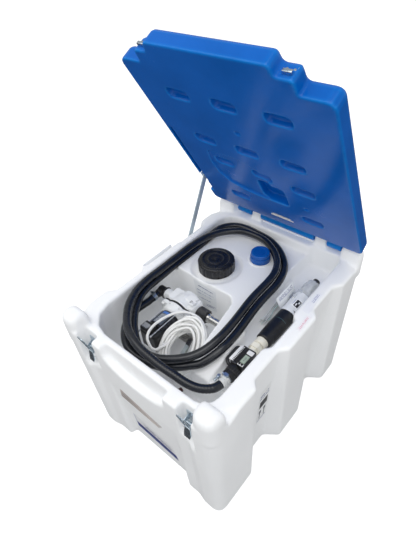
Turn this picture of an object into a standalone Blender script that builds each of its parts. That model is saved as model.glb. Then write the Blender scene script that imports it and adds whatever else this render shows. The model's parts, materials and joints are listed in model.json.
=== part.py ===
"""Portable fluid tank with a locker for the pump and hose, and a propped lid.

Metres, +Z up, -Y is the front. The origin is the middle of the base, on the ground.
The lid stands open, and the stay props it. Lengths below are in millimetres.
"""
import math

import bmesh
import bpy
from mathutils import Matrix, Vector

MM = 0.001

# ---------------------------------------------------------------- driving dimensions
HALF_RIM, HALF_FLOOR = 300.0, 288.0        # half width at the rim and at the ground
FRONT_RIM, FRONT_FLOOR = -387.0, -377.0
CORNER_RIM, CORNER_FLOOR = -398.0, -385.0  # corner columns stand a little proud
BACK_RIM, BACK_FLOOR = 408.0, 392.0
RIM_Z, POST_Z = 537.0, 588.0
WALL = 6.0
BAY_Z, DECK_Z, TROUGH_Z = 322.0, 500.0, 450.0
OPEN_LEFT, OPEN_RIGHT, OPEN_FRONT, OPEN_BACK = -248.0, 237.0, -338.0, 358.0

HINGE_Y, HINGE_Z, HINGE_R, PIN_R = 402.0, 571.0, 14.0, 5.0
LID_OPEN = 60.0
LID_Z0, LID_Z1, LID_BACK, LID_HALF = 541.5, 591.5, 360.0, 303.0
LID_TABS = ((-211, -150), (-105, 117), (168, 223))
BODY_KNUCKLES = ((-148, -107), (119, 166))

STAY_X, STAY_Y, STAY_Z = -288.0, 213.0, 549.5   # pivot on the shut lid
STAY_END = (172.0, 500.0)                       # free end with the lid open (y, z)
STAY_W, STAY_T = 20.0, 4.0

FILL_X, FILL_Y, FILL_R = -110.0, 120.0, 65.0
VENT_X, VENT_Y, VENT_R = -6.0, 238.0, 36.0
LATCH_X = 200.0
LATCH_A = (-371.0, 472.0)                       # lever pivot (y, z)
LATCH_B = (-378.5, 462.0)                       # bail pivot (y, z)

PUMP_X, PUMP_Y, PORT_Z = -108.0, -55.0, 455.0
MOTOR_Z, MOTOR_R = 432.0, 44.0
LINE_Z = 488.0                                  # meter and nozzle line in the trough
HOSE_R = 13.0


# ---------------------------------------------------------------- helpers
def clear():
    for o in list(bpy.data.objects):
        bpy.data.objects.remove(o, do_unlink=True)
    for block in (bpy.data.meshes, bpy.data.materials, bpy.data.curves):
        for item in list(block):
            block.remove(item)


MATS = {}


def material(name, rgb, rough, metal=0.0, alpha=1.0):
    m = bpy.data.materials.new(name)
    m.use_nodes = True
    b = m.node_tree.nodes["Principled BSDF"]
    b.inputs["Base Color"].default_value = (*rgb, 1.0)
    b.inputs["Roughness"].default_value = rough
    b.inputs["Metallic"].default_value = metal
    b.inputs["Alpha"].default_value = alpha
    m.diffuse_color = (*rgb, alpha)
    MATS[name] = m


def make(name, verts, faces, smooth=None):
    me = bpy.data.meshes.new(name)
    me.from_pydata([Vector(v) * MM for v in verts], [], faces)
    bm = bmesh.new()
    bm.from_mesh(me)
    bmesh.ops.remove_doubles(bm, verts=bm.verts, dist=1e-6)
    bmesh.ops.recalc_face_normals(bm, faces=bm.faces)
    bm.to_mesh(me)
    bm.free()
    o = bpy.data.objects.new(name, me)
    bpy.context.scene.collection.objects.link(o)
    if smooth:
        shade(o, smooth)
    return o


def shade(o, angle=40):
    o.data.shade_smooth()
    o.data.set_sharp_from_angle(angle=math.radians(angle))


def combine(target, other, op):
    """Applies one exact boolean and drops the tool object."""
    m = target.modifiers.new("cut", "BOOLEAN")
    m.operation, m.object, m.solver = op, other, "EXACT"
    bpy.context.view_layer.update()
    dg = bpy.context.evaluated_depsgraph_get()
    me = bpy.data.meshes.new_from_object(target.evaluated_get(dg))
    target.modifiers.remove(m)
    old = target.data
    target.data = me
    bpy.data.meshes.remove(old)
    bpy.data.objects.remove(other, do_unlink=True)
    return target


def cut(target, *tools):
    for t in tools:
        combine(target, t, "DIFFERENCE")
    return target


def join(target, *tools):
    for t in tools:
        combine(target, t, "UNION")
    return target


def signed_area(p):
    return sum(a[0] * b[1] - b[0] * a[1] for a, b in zip(p, p[1:] + p[:1])) / 2


def grown(points, d):
    """Offsets a counter-clockwise outline of (x, y, r) outwards by d, with its corner radii."""
    n, out = len(points), []
    for i, (x, y, r) in enumerate(points):
        ax, ay, _ = points[i - 1]
        bx, by, _ = points[(i + 1) % n]
        e1 = Vector((x - ax, y - ay)).normalized()
        e2 = Vector((bx - x, by - y)).normalized()
        n1, n2 = Vector((e1.y, -e1.x)), Vector((e2.y, -e2.x))
        k = 1.0 + n1.dot(n2)
        m = (n1 + n2) / max(k, 0.2)
        turn = e1.x * e2.y - e1.y * e2.x
        rr = r + d if turn > 0 else r - d
        out.append((x + m.x * d, y + m.y * d, max(rr, 1.0) if r else 0.0))
    return out


def rounded(points, seg=3):
    """Outline with each corner turned into an arc of seg steps, so equal lists stay matched."""
    n, out = len(points), []
    for i, (x, y, r) in enumerate(points):
        p, a, b = Vector((x, y)), Vector(points[i - 1][:2]), Vector(points[(i + 1) % n][:2])
        e1, e2 = (a - p), (b - p)
        l1, l2 = e1.length, e2.length
        e1.normalize()
        e2.normalize()
        ang = e1.angle(e2)
        if r <= 0 or ang > math.pi - 0.02:
            out += [(x, y)] if r <= 0 else [(x + (k / seg - 0.5) * e2.x * 0.4, y + (k / seg - 0.5) * e2.y * 0.4) for k in range(seg + 1)]
            continue
        t = min(r / math.tan(ang / 2), l1 * 0.48, l2 * 0.48)
        r = t * math.tan(ang / 2)
        c = p + (e1 + e2).normalized() * (r / math.sin(ang / 2))
        s, e = p + e1 * t - c, p + e2 * t - c
        a0 = math.atan2(s.y, s.x)
        da = math.atan2(e.y, e.x) - a0
        da = (da + math.pi) % (2 * math.pi) - math.pi
        out += [(c.x + r * math.cos(a0 + da * k / seg), c.y + r * math.sin(a0 + da * k / seg)) for k in range(seg + 1)]
    return out


def loft(name, rings):
    """Closed solid through matched rings of 3-D points."""
    n = len(rings[0])
    verts = [v for r in rings for v in r]
    faces = [tuple(reversed(range(n))), tuple(range(len(verts) - n, len(verts)))]
    for k in range(len(rings) - 1):
        for i in range(n):
            j = (i + 1) % n
            faces.append((k * n + i, k * n + j, (k + 1) * n + j, (k + 1) * n + i))
    return make(name, verts, faces)


def prism(name, outline, z0, z1, seg=3):
    ring = rounded(outline, seg)
    return loft(name, [[(x, y, z) for x, y in ring] for z in (z0, z1)])


def slab(name, profile, x0, x1):
    """Profile of (y, z) pushed along X."""
    return loft(name, [[(x, y, z) for y, z in profile] for x in (x0, x1)])


def box(name, x0, x1, y0, y1, z0, z1, bevel=0.0):
    if bevel <= 0:
        return loft(name, [[(x0, y0, z), (x1, y0, z), (x1, y1, z), (x0, y1, z)] for z in (z0, z1)])
    b = bevel

    def ring(z, i):
        return [(x, y, z) for x, y in ((x0 + b, y0 + i), (x1 - b, y0 + i), (x1 - i, y0 + b), (x1 - i, y1 - b),
                                       (x1 - b, y1 - i), (x0 + b, y1 - i), (x0 + i, y1 - b), (x0 + i, y0 + b))]
    return loft(name, [ring(z0, b * 0.6), ring(z0 + b, 0), ring(z1 - b, 0), ring(z1, b * 0.6)])


AXES = {"X": Matrix(((0, 0, 1), (1, 0, 0), (0, 1, 0))), "Y": Matrix(((1, 0, 0), (0, 0, 1), (0, -1, 0))), "Z": Matrix.Identity(3)}


def lathe(name, profile, centre=(0, 0, 0), axis="Z", seg=24, radius=None):
    """Turns (r, h) pairs about an axis. A profile that starts and ends at r 0 is solid, others are rings."""
    rot, c = AXES[axis], Vector(centre)
    solid = profile[0][0] < 1e-6 and profile[-1][0] < 1e-6
    prof = profile[1:-1] if solid else profile
    verts, faces = [], []
    for r, h in prof:
        for i in range(seg):
            a = 2 * math.pi * i / seg
            rr = radius(r, a, h) if radius else r
            verts.append(c + rot @ Vector((rr * math.cos(a), rr * math.sin(a), h)))
    m = len(prof)
    for k in range(m - 1 if solid else m):
        for i in range(seg):
            j, q = (i + 1) % seg, (k + 1) % m
            faces.append((k * seg + i, k * seg + j, q * seg + j, q * seg + i))
    if solid:
        for row, h in ((0, profile[0][1]), (m - 1, profile[-1][1])):
            verts.append(c + rot @ Vector((0, 0, h)))
            t = len(verts) - 1
            for i in range(seg):
                faces.append((row * seg + i, row * seg + (i + 1) % seg, t))
    return make(name, verts, faces, 35)


def rod(name, r, a, b, centre, axis="X", seg=16):
    """Cylinder of radius r from a to b along an axis through centre (other two coordinates)."""
    c = list(centre)
    k = "XYZ".index(axis)
    c[k] = 0.0
    return lathe(name, [(0, a), (r, a), (r, b), (0, b)], c, axis, seg)


def curve_points(ctrl, per=6, closed=False):
    """Catmull-Rom curve through the control points."""
    p = [Vector(c) for c in ctrl]
    n, out = len(p), []
    last = n if closed else n - 1
    for i in range(last):
        p0 = p[(i - 1) % n] if closed or i > 0 else p[0] * 2 - p[1]
        p1, p2 = p[i], p[(i + 1) % n]
        p3 = p[(i + 2) % n] if closed or i < n - 2 else p[-1] * 2 - p[-2]
        for k in range(per):
            t = k / per
            out.append(0.5 * ((2 * p1) + (p2 - p0) * t + (2 * p0 - 5 * p1 + 4 * p2 - p3) * t * t + (3 * p1 - p0 - 3 * p2 + p3) * t ** 3))
    if not closed:
        out.append(p[-1])
    return out


def sweep(name, path, r, seg=8, closed=False):
    """Round section carried along a path without twist."""
    n = len(path)
    tang = [(path[(i + 1) % n] - path[i - 1] if closed or 0 < i < n - 1 else path[min(i + 1, n - 1)] - path[max(i - 1, 0)]).normalized() for i in range(n)]
    side = tang[0].orthogonal().normalized()
    frames = []
    for t in tang:
        side = (side - t * side.dot(t)).normalized()
        frames.append((side.copy(), t.cross(side)))
    if closed:  # spread the closing twist
        s0 = frames[0][0]
        t = tang[0]
        end = (frames[-1][0] - t * frames[-1][0].dot(t)).normalized()
        gap = math.atan2(end.cross(s0).dot(t), end.dot(s0))
        frames = [(Matrix.Rotation(gap * i / n, 3, tang[i]) @ s, Matrix.Rotation(gap * i / n, 3, tang[i]) @ u) for i, (s, u) in enumerate(frames)]
    verts = []
    for c, (s, u) in zip(path, frames):
        verts += [c + (s * math.cos(2 * math.pi * k / seg) + u * math.sin(2 * math.pi * k / seg)) * r for k in range(seg)]
    faces = []
    for i in range(n if closed else n - 1):
        j = (i + 1) % n
        for k in range(seg):
            q = (k + 1) % seg
            faces.append((i * seg + k, i * seg + q, j * seg + q, j * seg + k))
    if not closed:
        faces += [tuple(range(seg)), tuple(range((n - 1) * seg, n * seg))]
    return make(name, verts, faces, 60)


def hull(name, points):
    bm = bmesh.new()
    for p in points:
        bm.verts.new(Vector(p) * MM)
    res = bmesh.ops.convex_hull(bm, input=bm.verts)
    bmesh.ops.delete(bm, geom=[g for g in res["geom_interior"] if isinstance(g, bmesh.types.BMVert)], context="VERTS")
    bmesh.ops.recalc_face_normals(bm, faces=bm.faces)
    me = bpy.data.meshes.new(name)
    bm.to_mesh(me)
    bm.free()
    o = bpy.data.objects.new(name, me)
    bpy.context.scene.collection.objects.link(o)
    return o


def pivot(name, x, y, z, turn=0.0):
    e = bpy.data.objects.new(name, None)
    e.location = (x * MM, y * MM, z * MM)
    e.rotation_euler = (math.radians(turn), 0, 0)
    bpy.context.scene.collection.objects.link(e)
    return e


def hang(o, empty, at):
    """Parents o, drawn about the point at, to an empty standing on its joint axis."""
    o.data.transform(Matrix.Translation(Vector(at) * -MM))
    o.parent = empty
    return o


def finish(o, mat, angle=None):
    o.data.materials.clear()
    o.data.materials.append(MATS[mat])
    if angle:
        shade(o, angle)
    return o


# ---------------------------------------------------------------- tank body
def side_outline(rim):
    """Half plan of the tank from the front centre to the back centre, at the rim or at the ground."""
    if rim:
        w, f, c, b = HALF_RIM, FRONT_RIM, CORNER_RIM, BACK_RIM
        half = [(196, f, 8), (224, c, 10), (w, c, 45), (w, -215, 10), (278, -193, 10), (278, -81, 10), (w, -57, 10),
                (w, 89, 10), (278, 115, 10), (278, 228, 10), (w, 259, 10), (w, b, 50), (150, b, 6), (138, b - 12, 6)]
    else:
        w, f, c, b = HALF_FLOOR, FRONT_FLOOR, CORNER_FLOOR, BACK_FLOOR
        half = [(196, f, 8), (224, c, 10), (w, c, 45), (w, -213, 12), (238, -186, 14), (238, -80, 14), (w, -44, 12),
                (w, 86, 12), (238, 118, 14), (238, 226, 14), (w, 260, 12), (w, b, 50), (150, b, 6), (138, b - 12, 6)]
    return half + [(-x, y, r) for x, y, r in reversed(half)]


def level(z, inset):
    t = z / RIM_Z
    mix = [tuple(a + (b - a) * t for a, b in zip(p, q)) for p, q in zip(side_outline(False), side_outline(True))]
    return [(x, y, z) for x, y in rounded(grown(mix, -inset), 3)]


def corner_block(name, sx, y0, y1, r0, r1, top, g, bottom=480.0):
    """Raised corner of the rim with a domed top. g shrinks it for the hollow inside."""
    def ring(z, i):
        i += g
        x0, x1 = 225 + i, HALF_RIM - 0.4 - i
        pts = [(x0, y0 + i, r0 if y0 < 0 else 12), (x1, y0 + i, 45 if y0 < 0 else 12), (x1, y1 - i, 12 if y0 < 0 else 48), (x0, y1 - i, 12)]
        pts = [(sx * x, y, r) for x, y, r in pts]
        if sx < 0:
            pts.reverse()
        return [(x, y, z) for x, y in rounded(pts, 3)]
    t = top - g
    return loft(name, [ring(bottom, 0.4), ring(t - 26, 0), ring(t - 12, 3), ring(t - 4, 9), ring(t, 18)])


CABLE_LOOP = [(-52, -252, 452), (-74, -252, 476), (-90, -240, 489), (-98, -215, 490), (-98, -185, 488), (-92, -152, 487), (-78, -122, 488), (-56, -104, 489), (-30, -94, 486), (-4, -92, 478), (18, -100, 466), (30, -112, 452), (34, -122, 436)]
BAY = [(OPEN_LEFT, OPEN_FRONT, 88), (OPEN_RIGHT, OPEN_FRONT, 88), (OPEN_RIGHT, -240, 10), (158, -240, 22), (62, -240, 22),
       (71, -156, 30), (43, 10, 20), (19, 32, 16), (OPEN_LEFT, 32, 28)]
DECK = [(OPEN_LEFT, OPEN_FRONT, 88), (OPEN_RIGHT, OPEN_FRONT, 88), (OPEN_RIGHT, -100, 12), (254, -82, 12), (254, 42, 12),
        (OPEN_RIGHT, 60, 12), (OPEN_RIGHT, OPEN_BACK, 25), (OPEN_LEFT, OPEN_BACK, 60)]
TROUGH = [(150, -262, 12), (OPEN_RIGHT, -262, 12), (OPEN_RIGHT, -100, 12), (254, -82, 12), (254, 42, 12), (OPEN_RIGHT, 60, 12),
          (OPEN_RIGHT, 372, 26), (112, 372, 26), (107, 0, 30), (148, -62, 40), (156, -180, 30)]


def grow(v, g):
    return v + math.copysign(g, v)


def hollows(g):
    """Everything scooped out of the block. g grows each scoop, for the inside surface."""
    out = [
        prism("bay", grown(BAY, g), BAY_Z - g, 640),
        prism("deck", grown(DECK, g), DECK_Z - g, 641),
        prism("trough", grown(TROUGH, g), TROUGH_Z - g, 642),
        hull("nose", [(x, y, z) for x in (30 - g, 172 + g) for y, z in ((-150 + g, 500), (-150 + g, 560), (-275 - g, 560), (-275 - g, 438 - g), (-156 - g * 0.3, 500 - g * 1.1))]),
        lathe("bowl", [(0, 492 - g), (84 + g, 492 - g), (95 + g, 501), (95 + g, 560), (0, 560)], (FILL_X, FILL_Y, 0), "Z", 30),
        # channel beside the deck for the lower turn of the hose
        hull("channel", [(x, y, z) for x in (OPEN_LEFT - g, -219 + g) for y, z in ((-4 - g, 560), (-4 - g, 483 - g), (200, 487 - g), (262 + g * 0.3, 494 - g), (292 + g * 0.5, 500 - g * 0.9), (292 + g * 0.5, 560))]),
        # hand hold under the lid's front edge, with a crescent sill
        loft("hand", [[(x, y, z) for x, z in [(-131 - g, 600), (121 + g, 600)] +
                       [(-5 + (126 + g) * math.cos(a), 507 - (52 + g) * math.sin(a)) for a in [math.pi * k / 12 for k in range(13)]]]
                      for y in (-430, -360 + g)]),
        # sloped lower front panel between the feet
        hull("panel", [(sx * x, y, z) for sx in (-1, 1) for x, y, z in ((158 + g, -430, -20), (138 + g, -350 + g, -20), (158 + g, -430, 415 + g), (146 + g, -387.5 + g, 415 + g))]),
    ]
    for s in (-1, 1):
        out.append(hull("latchwell", [(s * x, y, z) for x, y, z in (
            (171 - g, -430, 600), (229 + g, -430, 600), (171 - g, -357 + g, 600), (229 + g, -357 + g, 600),
            (171 - g, -357 + g, 443 - g), (229 + g, -357 + g, 443 - g), (171 - g, -430, 326 - g), (229 + g, -430, 326 - g))]))
        # dips in the rim where it meets the raised corners
        for y0, y1 in ((-268, -333), (292, 366)):
            out.append(hull("dip", [(s * x, y, z) for x, y, z in (
                (308, y0, RIM_Z + 1 - g), (308, grow(y1, g), 512 - g), (250 - g, grow(y1, g), RIM_Z + 1 - g), (308, y0, 560), (308, grow(y1, g), 560), (250 - g, grow(y1, g), 560))]))
    # slot in the left rim for the swing of the stay
    out.append(slab("stayslot", [(125 + g, 560), (125 + g, 486 - g), (80, 488 - g), (12, 498 - g), (-30, 513 - g), (-58 - g, 524 - g), (-58 - g, 560)], -294.5 - g, -281.5 + g))
    return out


def tank_body():
    body = loft("tank_body", [level(0, 5), level(6, 0), level(RIM_Z - 7, 0), level(RIM_Z - 2, 2.2), level(RIM_Z, 7)])
    core = loft("core", [level(WALL, WALL + 2), level(RIM_Z - WALL, WALL)])
    for s in (-1, 1):
        join(body, corner_block("post", s, CORNER_RIM + 0.4, -334, 45, 12, POST_Z, 0), corner_block("rear", s, 367, BACK_RIM - 0.4, 12, 48, 589, 0))
        join(core, corner_block("post", s, CORNER_RIM + 0.4, -334, 45, 12, POST_Z, WALL), )
    for x0, x1 in BODY_KNUCKLES:
        arc = [(HINGE_Y + HINGE_R * math.cos(a), HINGE_Z + HINGE_R * math.sin(a)) for a in [math.pi * k / 10 for k in range(11)]]
        join(body, slab("knuckle", [(HINGE_Y - HINGE_R - 6, 520), (BACK_RIM - 6, 520), (HINGE_Y + HINGE_R, 548)] + arc + [(HINGE_Y - HINGE_R - 6, 545)], x0, x1))
    cut(body, *hollows(0.0))
    cut(core, *hollows(WALL))
    cut(body, core)
    # necks of the filler and of the vent, with their bores
    join(body, lathe("neck", [(0, 487), (50, 487), (50, 522), (48.5, 524), (0, 524)], (FILL_X, FILL_Y, 0), "Z", 28),
         lathe("neck2", [(0, 495.5), (25, 495.5), (25, 518), (0, 518)], (VENT_X, VENT_Y, 0), "Z", 20))
    cut(body, rod("b1", 41, 470, 540, (FILL_X, FILL_Y, 0), "Z", 25), rod("b2", 18, 470, 540, (VENT_X, VENT_Y, 0), "Z", 17),
        rod("b3", 12.9, 40, 68, (0, PUMP_Y, PORT_Z), "X", 20), rod("b4", PIN_R + 0.5, -262, 262, (0, HINGE_Y, HINGE_Z), "X", 16))
    return finish(body, "tank_white", 30)


# ---------------------------------------------------------------- lid
def T(t):
    return LID_BACK - t


def slot_tool(name, x, t, w, d, depth, g=0.0):
    """Moulded stiffening pocket in the underside, narrower at its bottom."""
    def ring(z, i):
        i -= g
        return [(px, py, z) for px, py in rounded([(x - w / 2 + i, T(t) - d / 2 + i, 14), (x + w / 2 - i, T(t) - d / 2 + i, 14),
                                                  (x + w / 2 - i, T(t) + d / 2 - i, 14), (x - w / 2 + i, T(t) + d / 2 - i, 14)], 2)]
    return loft(name, [ring(LID_Z0 - 3, -1.5), ring(LID_Z0 + 2, 1), ring(LID_Z0 + depth + g, 6)])


SLOTS = [(x, 596) for x in (-151, -3, 151)] + [(x, 417) for x in (-147, 0, 146)] + [(-128, 306), (10, 299), (150, 292)] + [(-135, 112), (146, 112)]
RECESS = [(-171, 355), (-183, 295), (-176, 234), (-145, 192), (-94, 172), (-38, 163), (20, 163), (40, 205), (30, 275), (0, 330), (-60, 358)]


def lid_hollows(g):
    out = [slot_tool("slot", x, t, 77, 39, 18, g) for x, t in SLOTS]
    out.append(prism("recess", grown([(x, T(t), 10) for x, t in reversed(RECESS)], g), LID_Z0 - 4, LID_Z0 + 6 + g, 2))
    out.append(prism("pocket", grown([(-22, T(262), 14), (76, T(262), 18), (76, T(163), 16), (-22, T(163), 24)], g), LID_Z0 - 4, LID_Z0 + 30 + g, 3))
    out.append(prism("slit", grown([(-23, T(66), 5), (52, T(66), 5), (52, T(53), 5), (-23, T(53), 5)], g), LID_Z0 - 10, LID_Z1 + 10, 2))
    for x, t in ((0, 497), (140, 190)):
        out.append(lathe("dimple", [(0, LID_Z0 - 3), (9 + g, LID_Z0 - 3), (7 + g, LID_Z0 + 5 + g), (0, LID_Z0 + 5 + g)], (x, T(t), 0), "Z", 12))
    out.append(prism("notch", grown([(-330, T(165), 0), (-283, T(165), 6), (-283, T(57), 6), (-330, T(57), 0)], g), LID_Z0 - 10, LID_Z1 + 10, 2))
    out.append(box("groove", -296 - g, -280 + g, T(424) - g, T(120), LID_Z0 - 10, LID_Z0 + 22 + g))
    out.append(prism("top", grown([(-232, T(640), 40), (232, T(640), 40), (232, T(80), 40), (-232, T(80), 40)], g), LID_Z1 - 4 - g, LID_Z1 + 10, 3))
    return out


def lid_outline():
    half = [(171, T(757), 14), (177, T(728), 8), (219, T(728), 10), (223, T(690), 6), (LID_HALF, T(690), 22), (LID_HALF, LID_BACK, 16)]
    return [(-x, y, r) for x, y, r in half[::-1]] + half


def lid_ring(z, inset):
    pts = lid_outline()
    if signed_area([(x, y) for x, y, _ in pts]) < 0:
        pts = pts[::-1]
    return [(x, y, z) for x, y in rounded(grown(pts, -inset), 3)]


def lid():
    o = loft("lid", [lid_ring(LID_Z0, 2.5), lid_ring(LID_Z0 + 3, 0), lid_ring(LID_Z1 - 13, 1.0), lid_ring(LID_Z1 - 4, 5), lid_ring(LID_Z1, 13)])
    core = loft("lidcore", [lid_ring(LID_Z0 + 5, 6), lid_ring(LID_Z1 - 12, 6), lid_ring(LID_Z1 - 5, 13)])
    for x0, x1 in LID_TABS:
        arc = [(HINGE_Y + HINGE_R * math.sin(a), HINGE_Z - HINGE_R * math.cos(a)) for a in [math.pi * k / 10 for k in range(11)]]
        join(o, slab("tab", arc + [(LID_BACK - 10, HINGE_Z + HINGE_R), (LID_BACK - 10, HINGE_Z - HINGE_R)], x0, x1))
    cut(o, *lid_hollows(0.0))
    cut(core, *lid_hollows(5.0))
    cut(o, core)
    cut(o, rod("bore", PIN_R + 0.5, -240, 240, (0, HINGE_Y, HINGE_Z), "X", 16), rod("vent", 3, 340, 372, (-128, 0, 566), "Y", 10))
    return finish(o, "lid_blue", 30)


def catch(name, sx):
    y = T(728) - 0.4
    o = slab(name, [(y, 585), (y - 2, 585), (y - 2, 556), (y - 10, 556), (y - 10, 565), (y - 12, 565), (y - 12, 553.5), (y, 553.5)], sx * LATCH_X - 15, sx * LATCH_X + 15)
    return finish(o, "zinc", 20)


# ---------------------------------------------------------------- latches
def latch(side, sx):
    x, (ay, az), (by, bz) = sx * LATCH_X, LATCH_A, LATCH_B
    base = box("latch_%s_base" % side, x - 17.5, x + 17.5, -360.0, -357.4, 448, 506)
    for s in (-1, 1):
        join(base, slab("ear", [(-359, az - 11), (-359, az + 13), (ay - 3, az + 6), (ay - 7, az + 2), (ay - 7, az - 5), (ay - 2, az - 9)], x + s * 15 - (0 if s > 0 else 2.4), x + s * 15 + (2.4 if s > 0 else 0)))
    cut(base, rod("b", 2.5, x - 30, x + 30, (0, ay, az), "X", 12))
    for z in (454, 498):
        cut(base, rod("h", 2.6, -370, -350, (x, 0, z), "Y", 12))
    finish(base, "zinc", 30)
    screws = []
    for i, z in enumerate((454, 498)):
        s = lathe("latch_%s_screw_%d" % (side, i + 1), [(0, -363.2), (2.6, -363.2), (4.6, -361.8), (4.6, -360.4), (2.2, -360.4), (2.2, -357.3), (0, -357.3)], (x, 0, z), "Y", 12)
        screws.append(finish(s, "steel", 30))
    lever = rod("latch_%s_lever" % side, 4.2, x - 9.5, x + 9.5, (0, ay, az), "X", 14)
    join(lever, rod("stub", 2.0, x - 16.8, x + 16.8, (0, ay, az), "X", 12), rod("eye", 4.4, x - 9.4, x + 9.4, (0, by, bz), "X", 14),
         hull("web", [(x + s * 9.2, y, z) for s in (-1, 1) for y, z in ((ay - 3.5, az + 1), (ay + 3, az - 2), (by - 4.0, bz + 1), (by + 3.6, bz - 2))]),
         hull("blade", [(x + s * w, y, z) for s in (-1, 1) for w, y, z in ((9.1, by - 4.1, bz), (9.1, by - 1.5, bz), (12.5, by - 7, 436), (12.5, by - 4.6, 436), (10, by - 10, 424), (10, by - 8, 424))]))
    cut(lever, rod("eyebore", 2.5, x - 20, x + 20, (0, by, bz), "X", 12))
    finish(lever, "zinc", 30)
    lean = math.radians(14)
    up = Vector((0, -math.sin(lean), math.cos(lean)))
    b, w = Vector((x, by, bz)), 12.4
    top = b + up * 84
    ring = [b + Vector((-w + 3, 0, 0)), b + Vector((w - 3, 0, 0)), b + Vector((w - 0.8, 0, 0)) + up * 0.8, b + Vector((w, 0, 0)) + up * 3, b + Vector((w, 0, 0)) + up * 40,
            top + Vector((w, 0, 0)) - up * 6, top + Vector((w - 2, 0, 0)) - up * 1.7, top + Vector((w - 6, 0, 0)), top + Vector((-w + 6, 0, 0)), top + Vector((-w + 2, 0, 0)) - up * 1.7,
            top + Vector((-w, 0, 0)) - up * 6, b + Vector((-w, 0, 0)) + up * 40, b + Vector((-w, 0, 0)) + up * 3, b + Vector((-w + 0.8, 0, 0)) + up * 0.8]
    bail = finish(sweep("latch_%s_bail" % side, ring, 1.7, 8, True), "steel", 50)
    hang(lever, pivot("latch_%s_axis" % side, x, ay, az), (x, ay, az))
    hang(bail, pivot("bail_%s_axis" % side, x, by, bz), (x, by, bz))
    return screws


# ---------------------------------------------------------------- caps
def scallop(lobes, depth):
    return lambda r, a, h: r - depth * (0.5 - 0.5 * math.cos(lobes * a)) ** 3 if r > 55 else r


def caps():
    f = (FILL_X, FILL_Y, 0)
    cap = lathe("fill_cap", [(0, 527.5), (51.6, 527.5), (51.6, 494), (FILL_R, 494), (FILL_R, 529), (61, 534), (56, 535.5), (48, 536), (44, 533.5), (0, 534.5)], f, "Z", 48,
                lambda r, a, h: r - (3.0 * max(0.0, math.cos(16 * a)) if r > 60 and h < 534 else 0))
    hang(finish(cap, "cap_black", 30), pivot("fill_axis", FILL_X, FILL_Y, 520), (FILL_X, FILL_Y, 520))
    g = lathe("fill_gasket", [(42.4, 524.4), (49, 524.4), (49, 527.1), (42.4, 527.1)], f, "Z", 28)
    hang(finish(g, "rubber_black", 30), pivot("gasket_axis", FILL_X, FILL_Y, 525), (FILL_X, FILL_Y, 525))
    v = (VENT_X, VENT_Y, 0)
    cap = lathe("vent_cap", [(0, 522), (26, 522), (26, 502), (VENT_R, 502), (VENT_R, 519), (34.5, 521), (31.5, 521.5), (31.5, 523.5), (33.5, 524), (33.5, 534), (31, 537), (0, 537)], v, "Z", 28)
    hang(finish(cap, "cap_blue", 30), pivot("vent_axis", VENT_X, VENT_Y, 520), (VENT_X, VENT_Y, 520))
    s = lathe("vent_valve", [(0, 521.6), (9, 521.6), (9, 506), (14, 502), (14, 492), (5, 488), (5, 478), (0, 478)], v, "Z", 16)
    hang(finish(s, "rubber_black", 30), pivot("valve_axis", VENT_X, VENT_Y, 500), (VENT_X, VENT_Y, 500))


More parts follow.
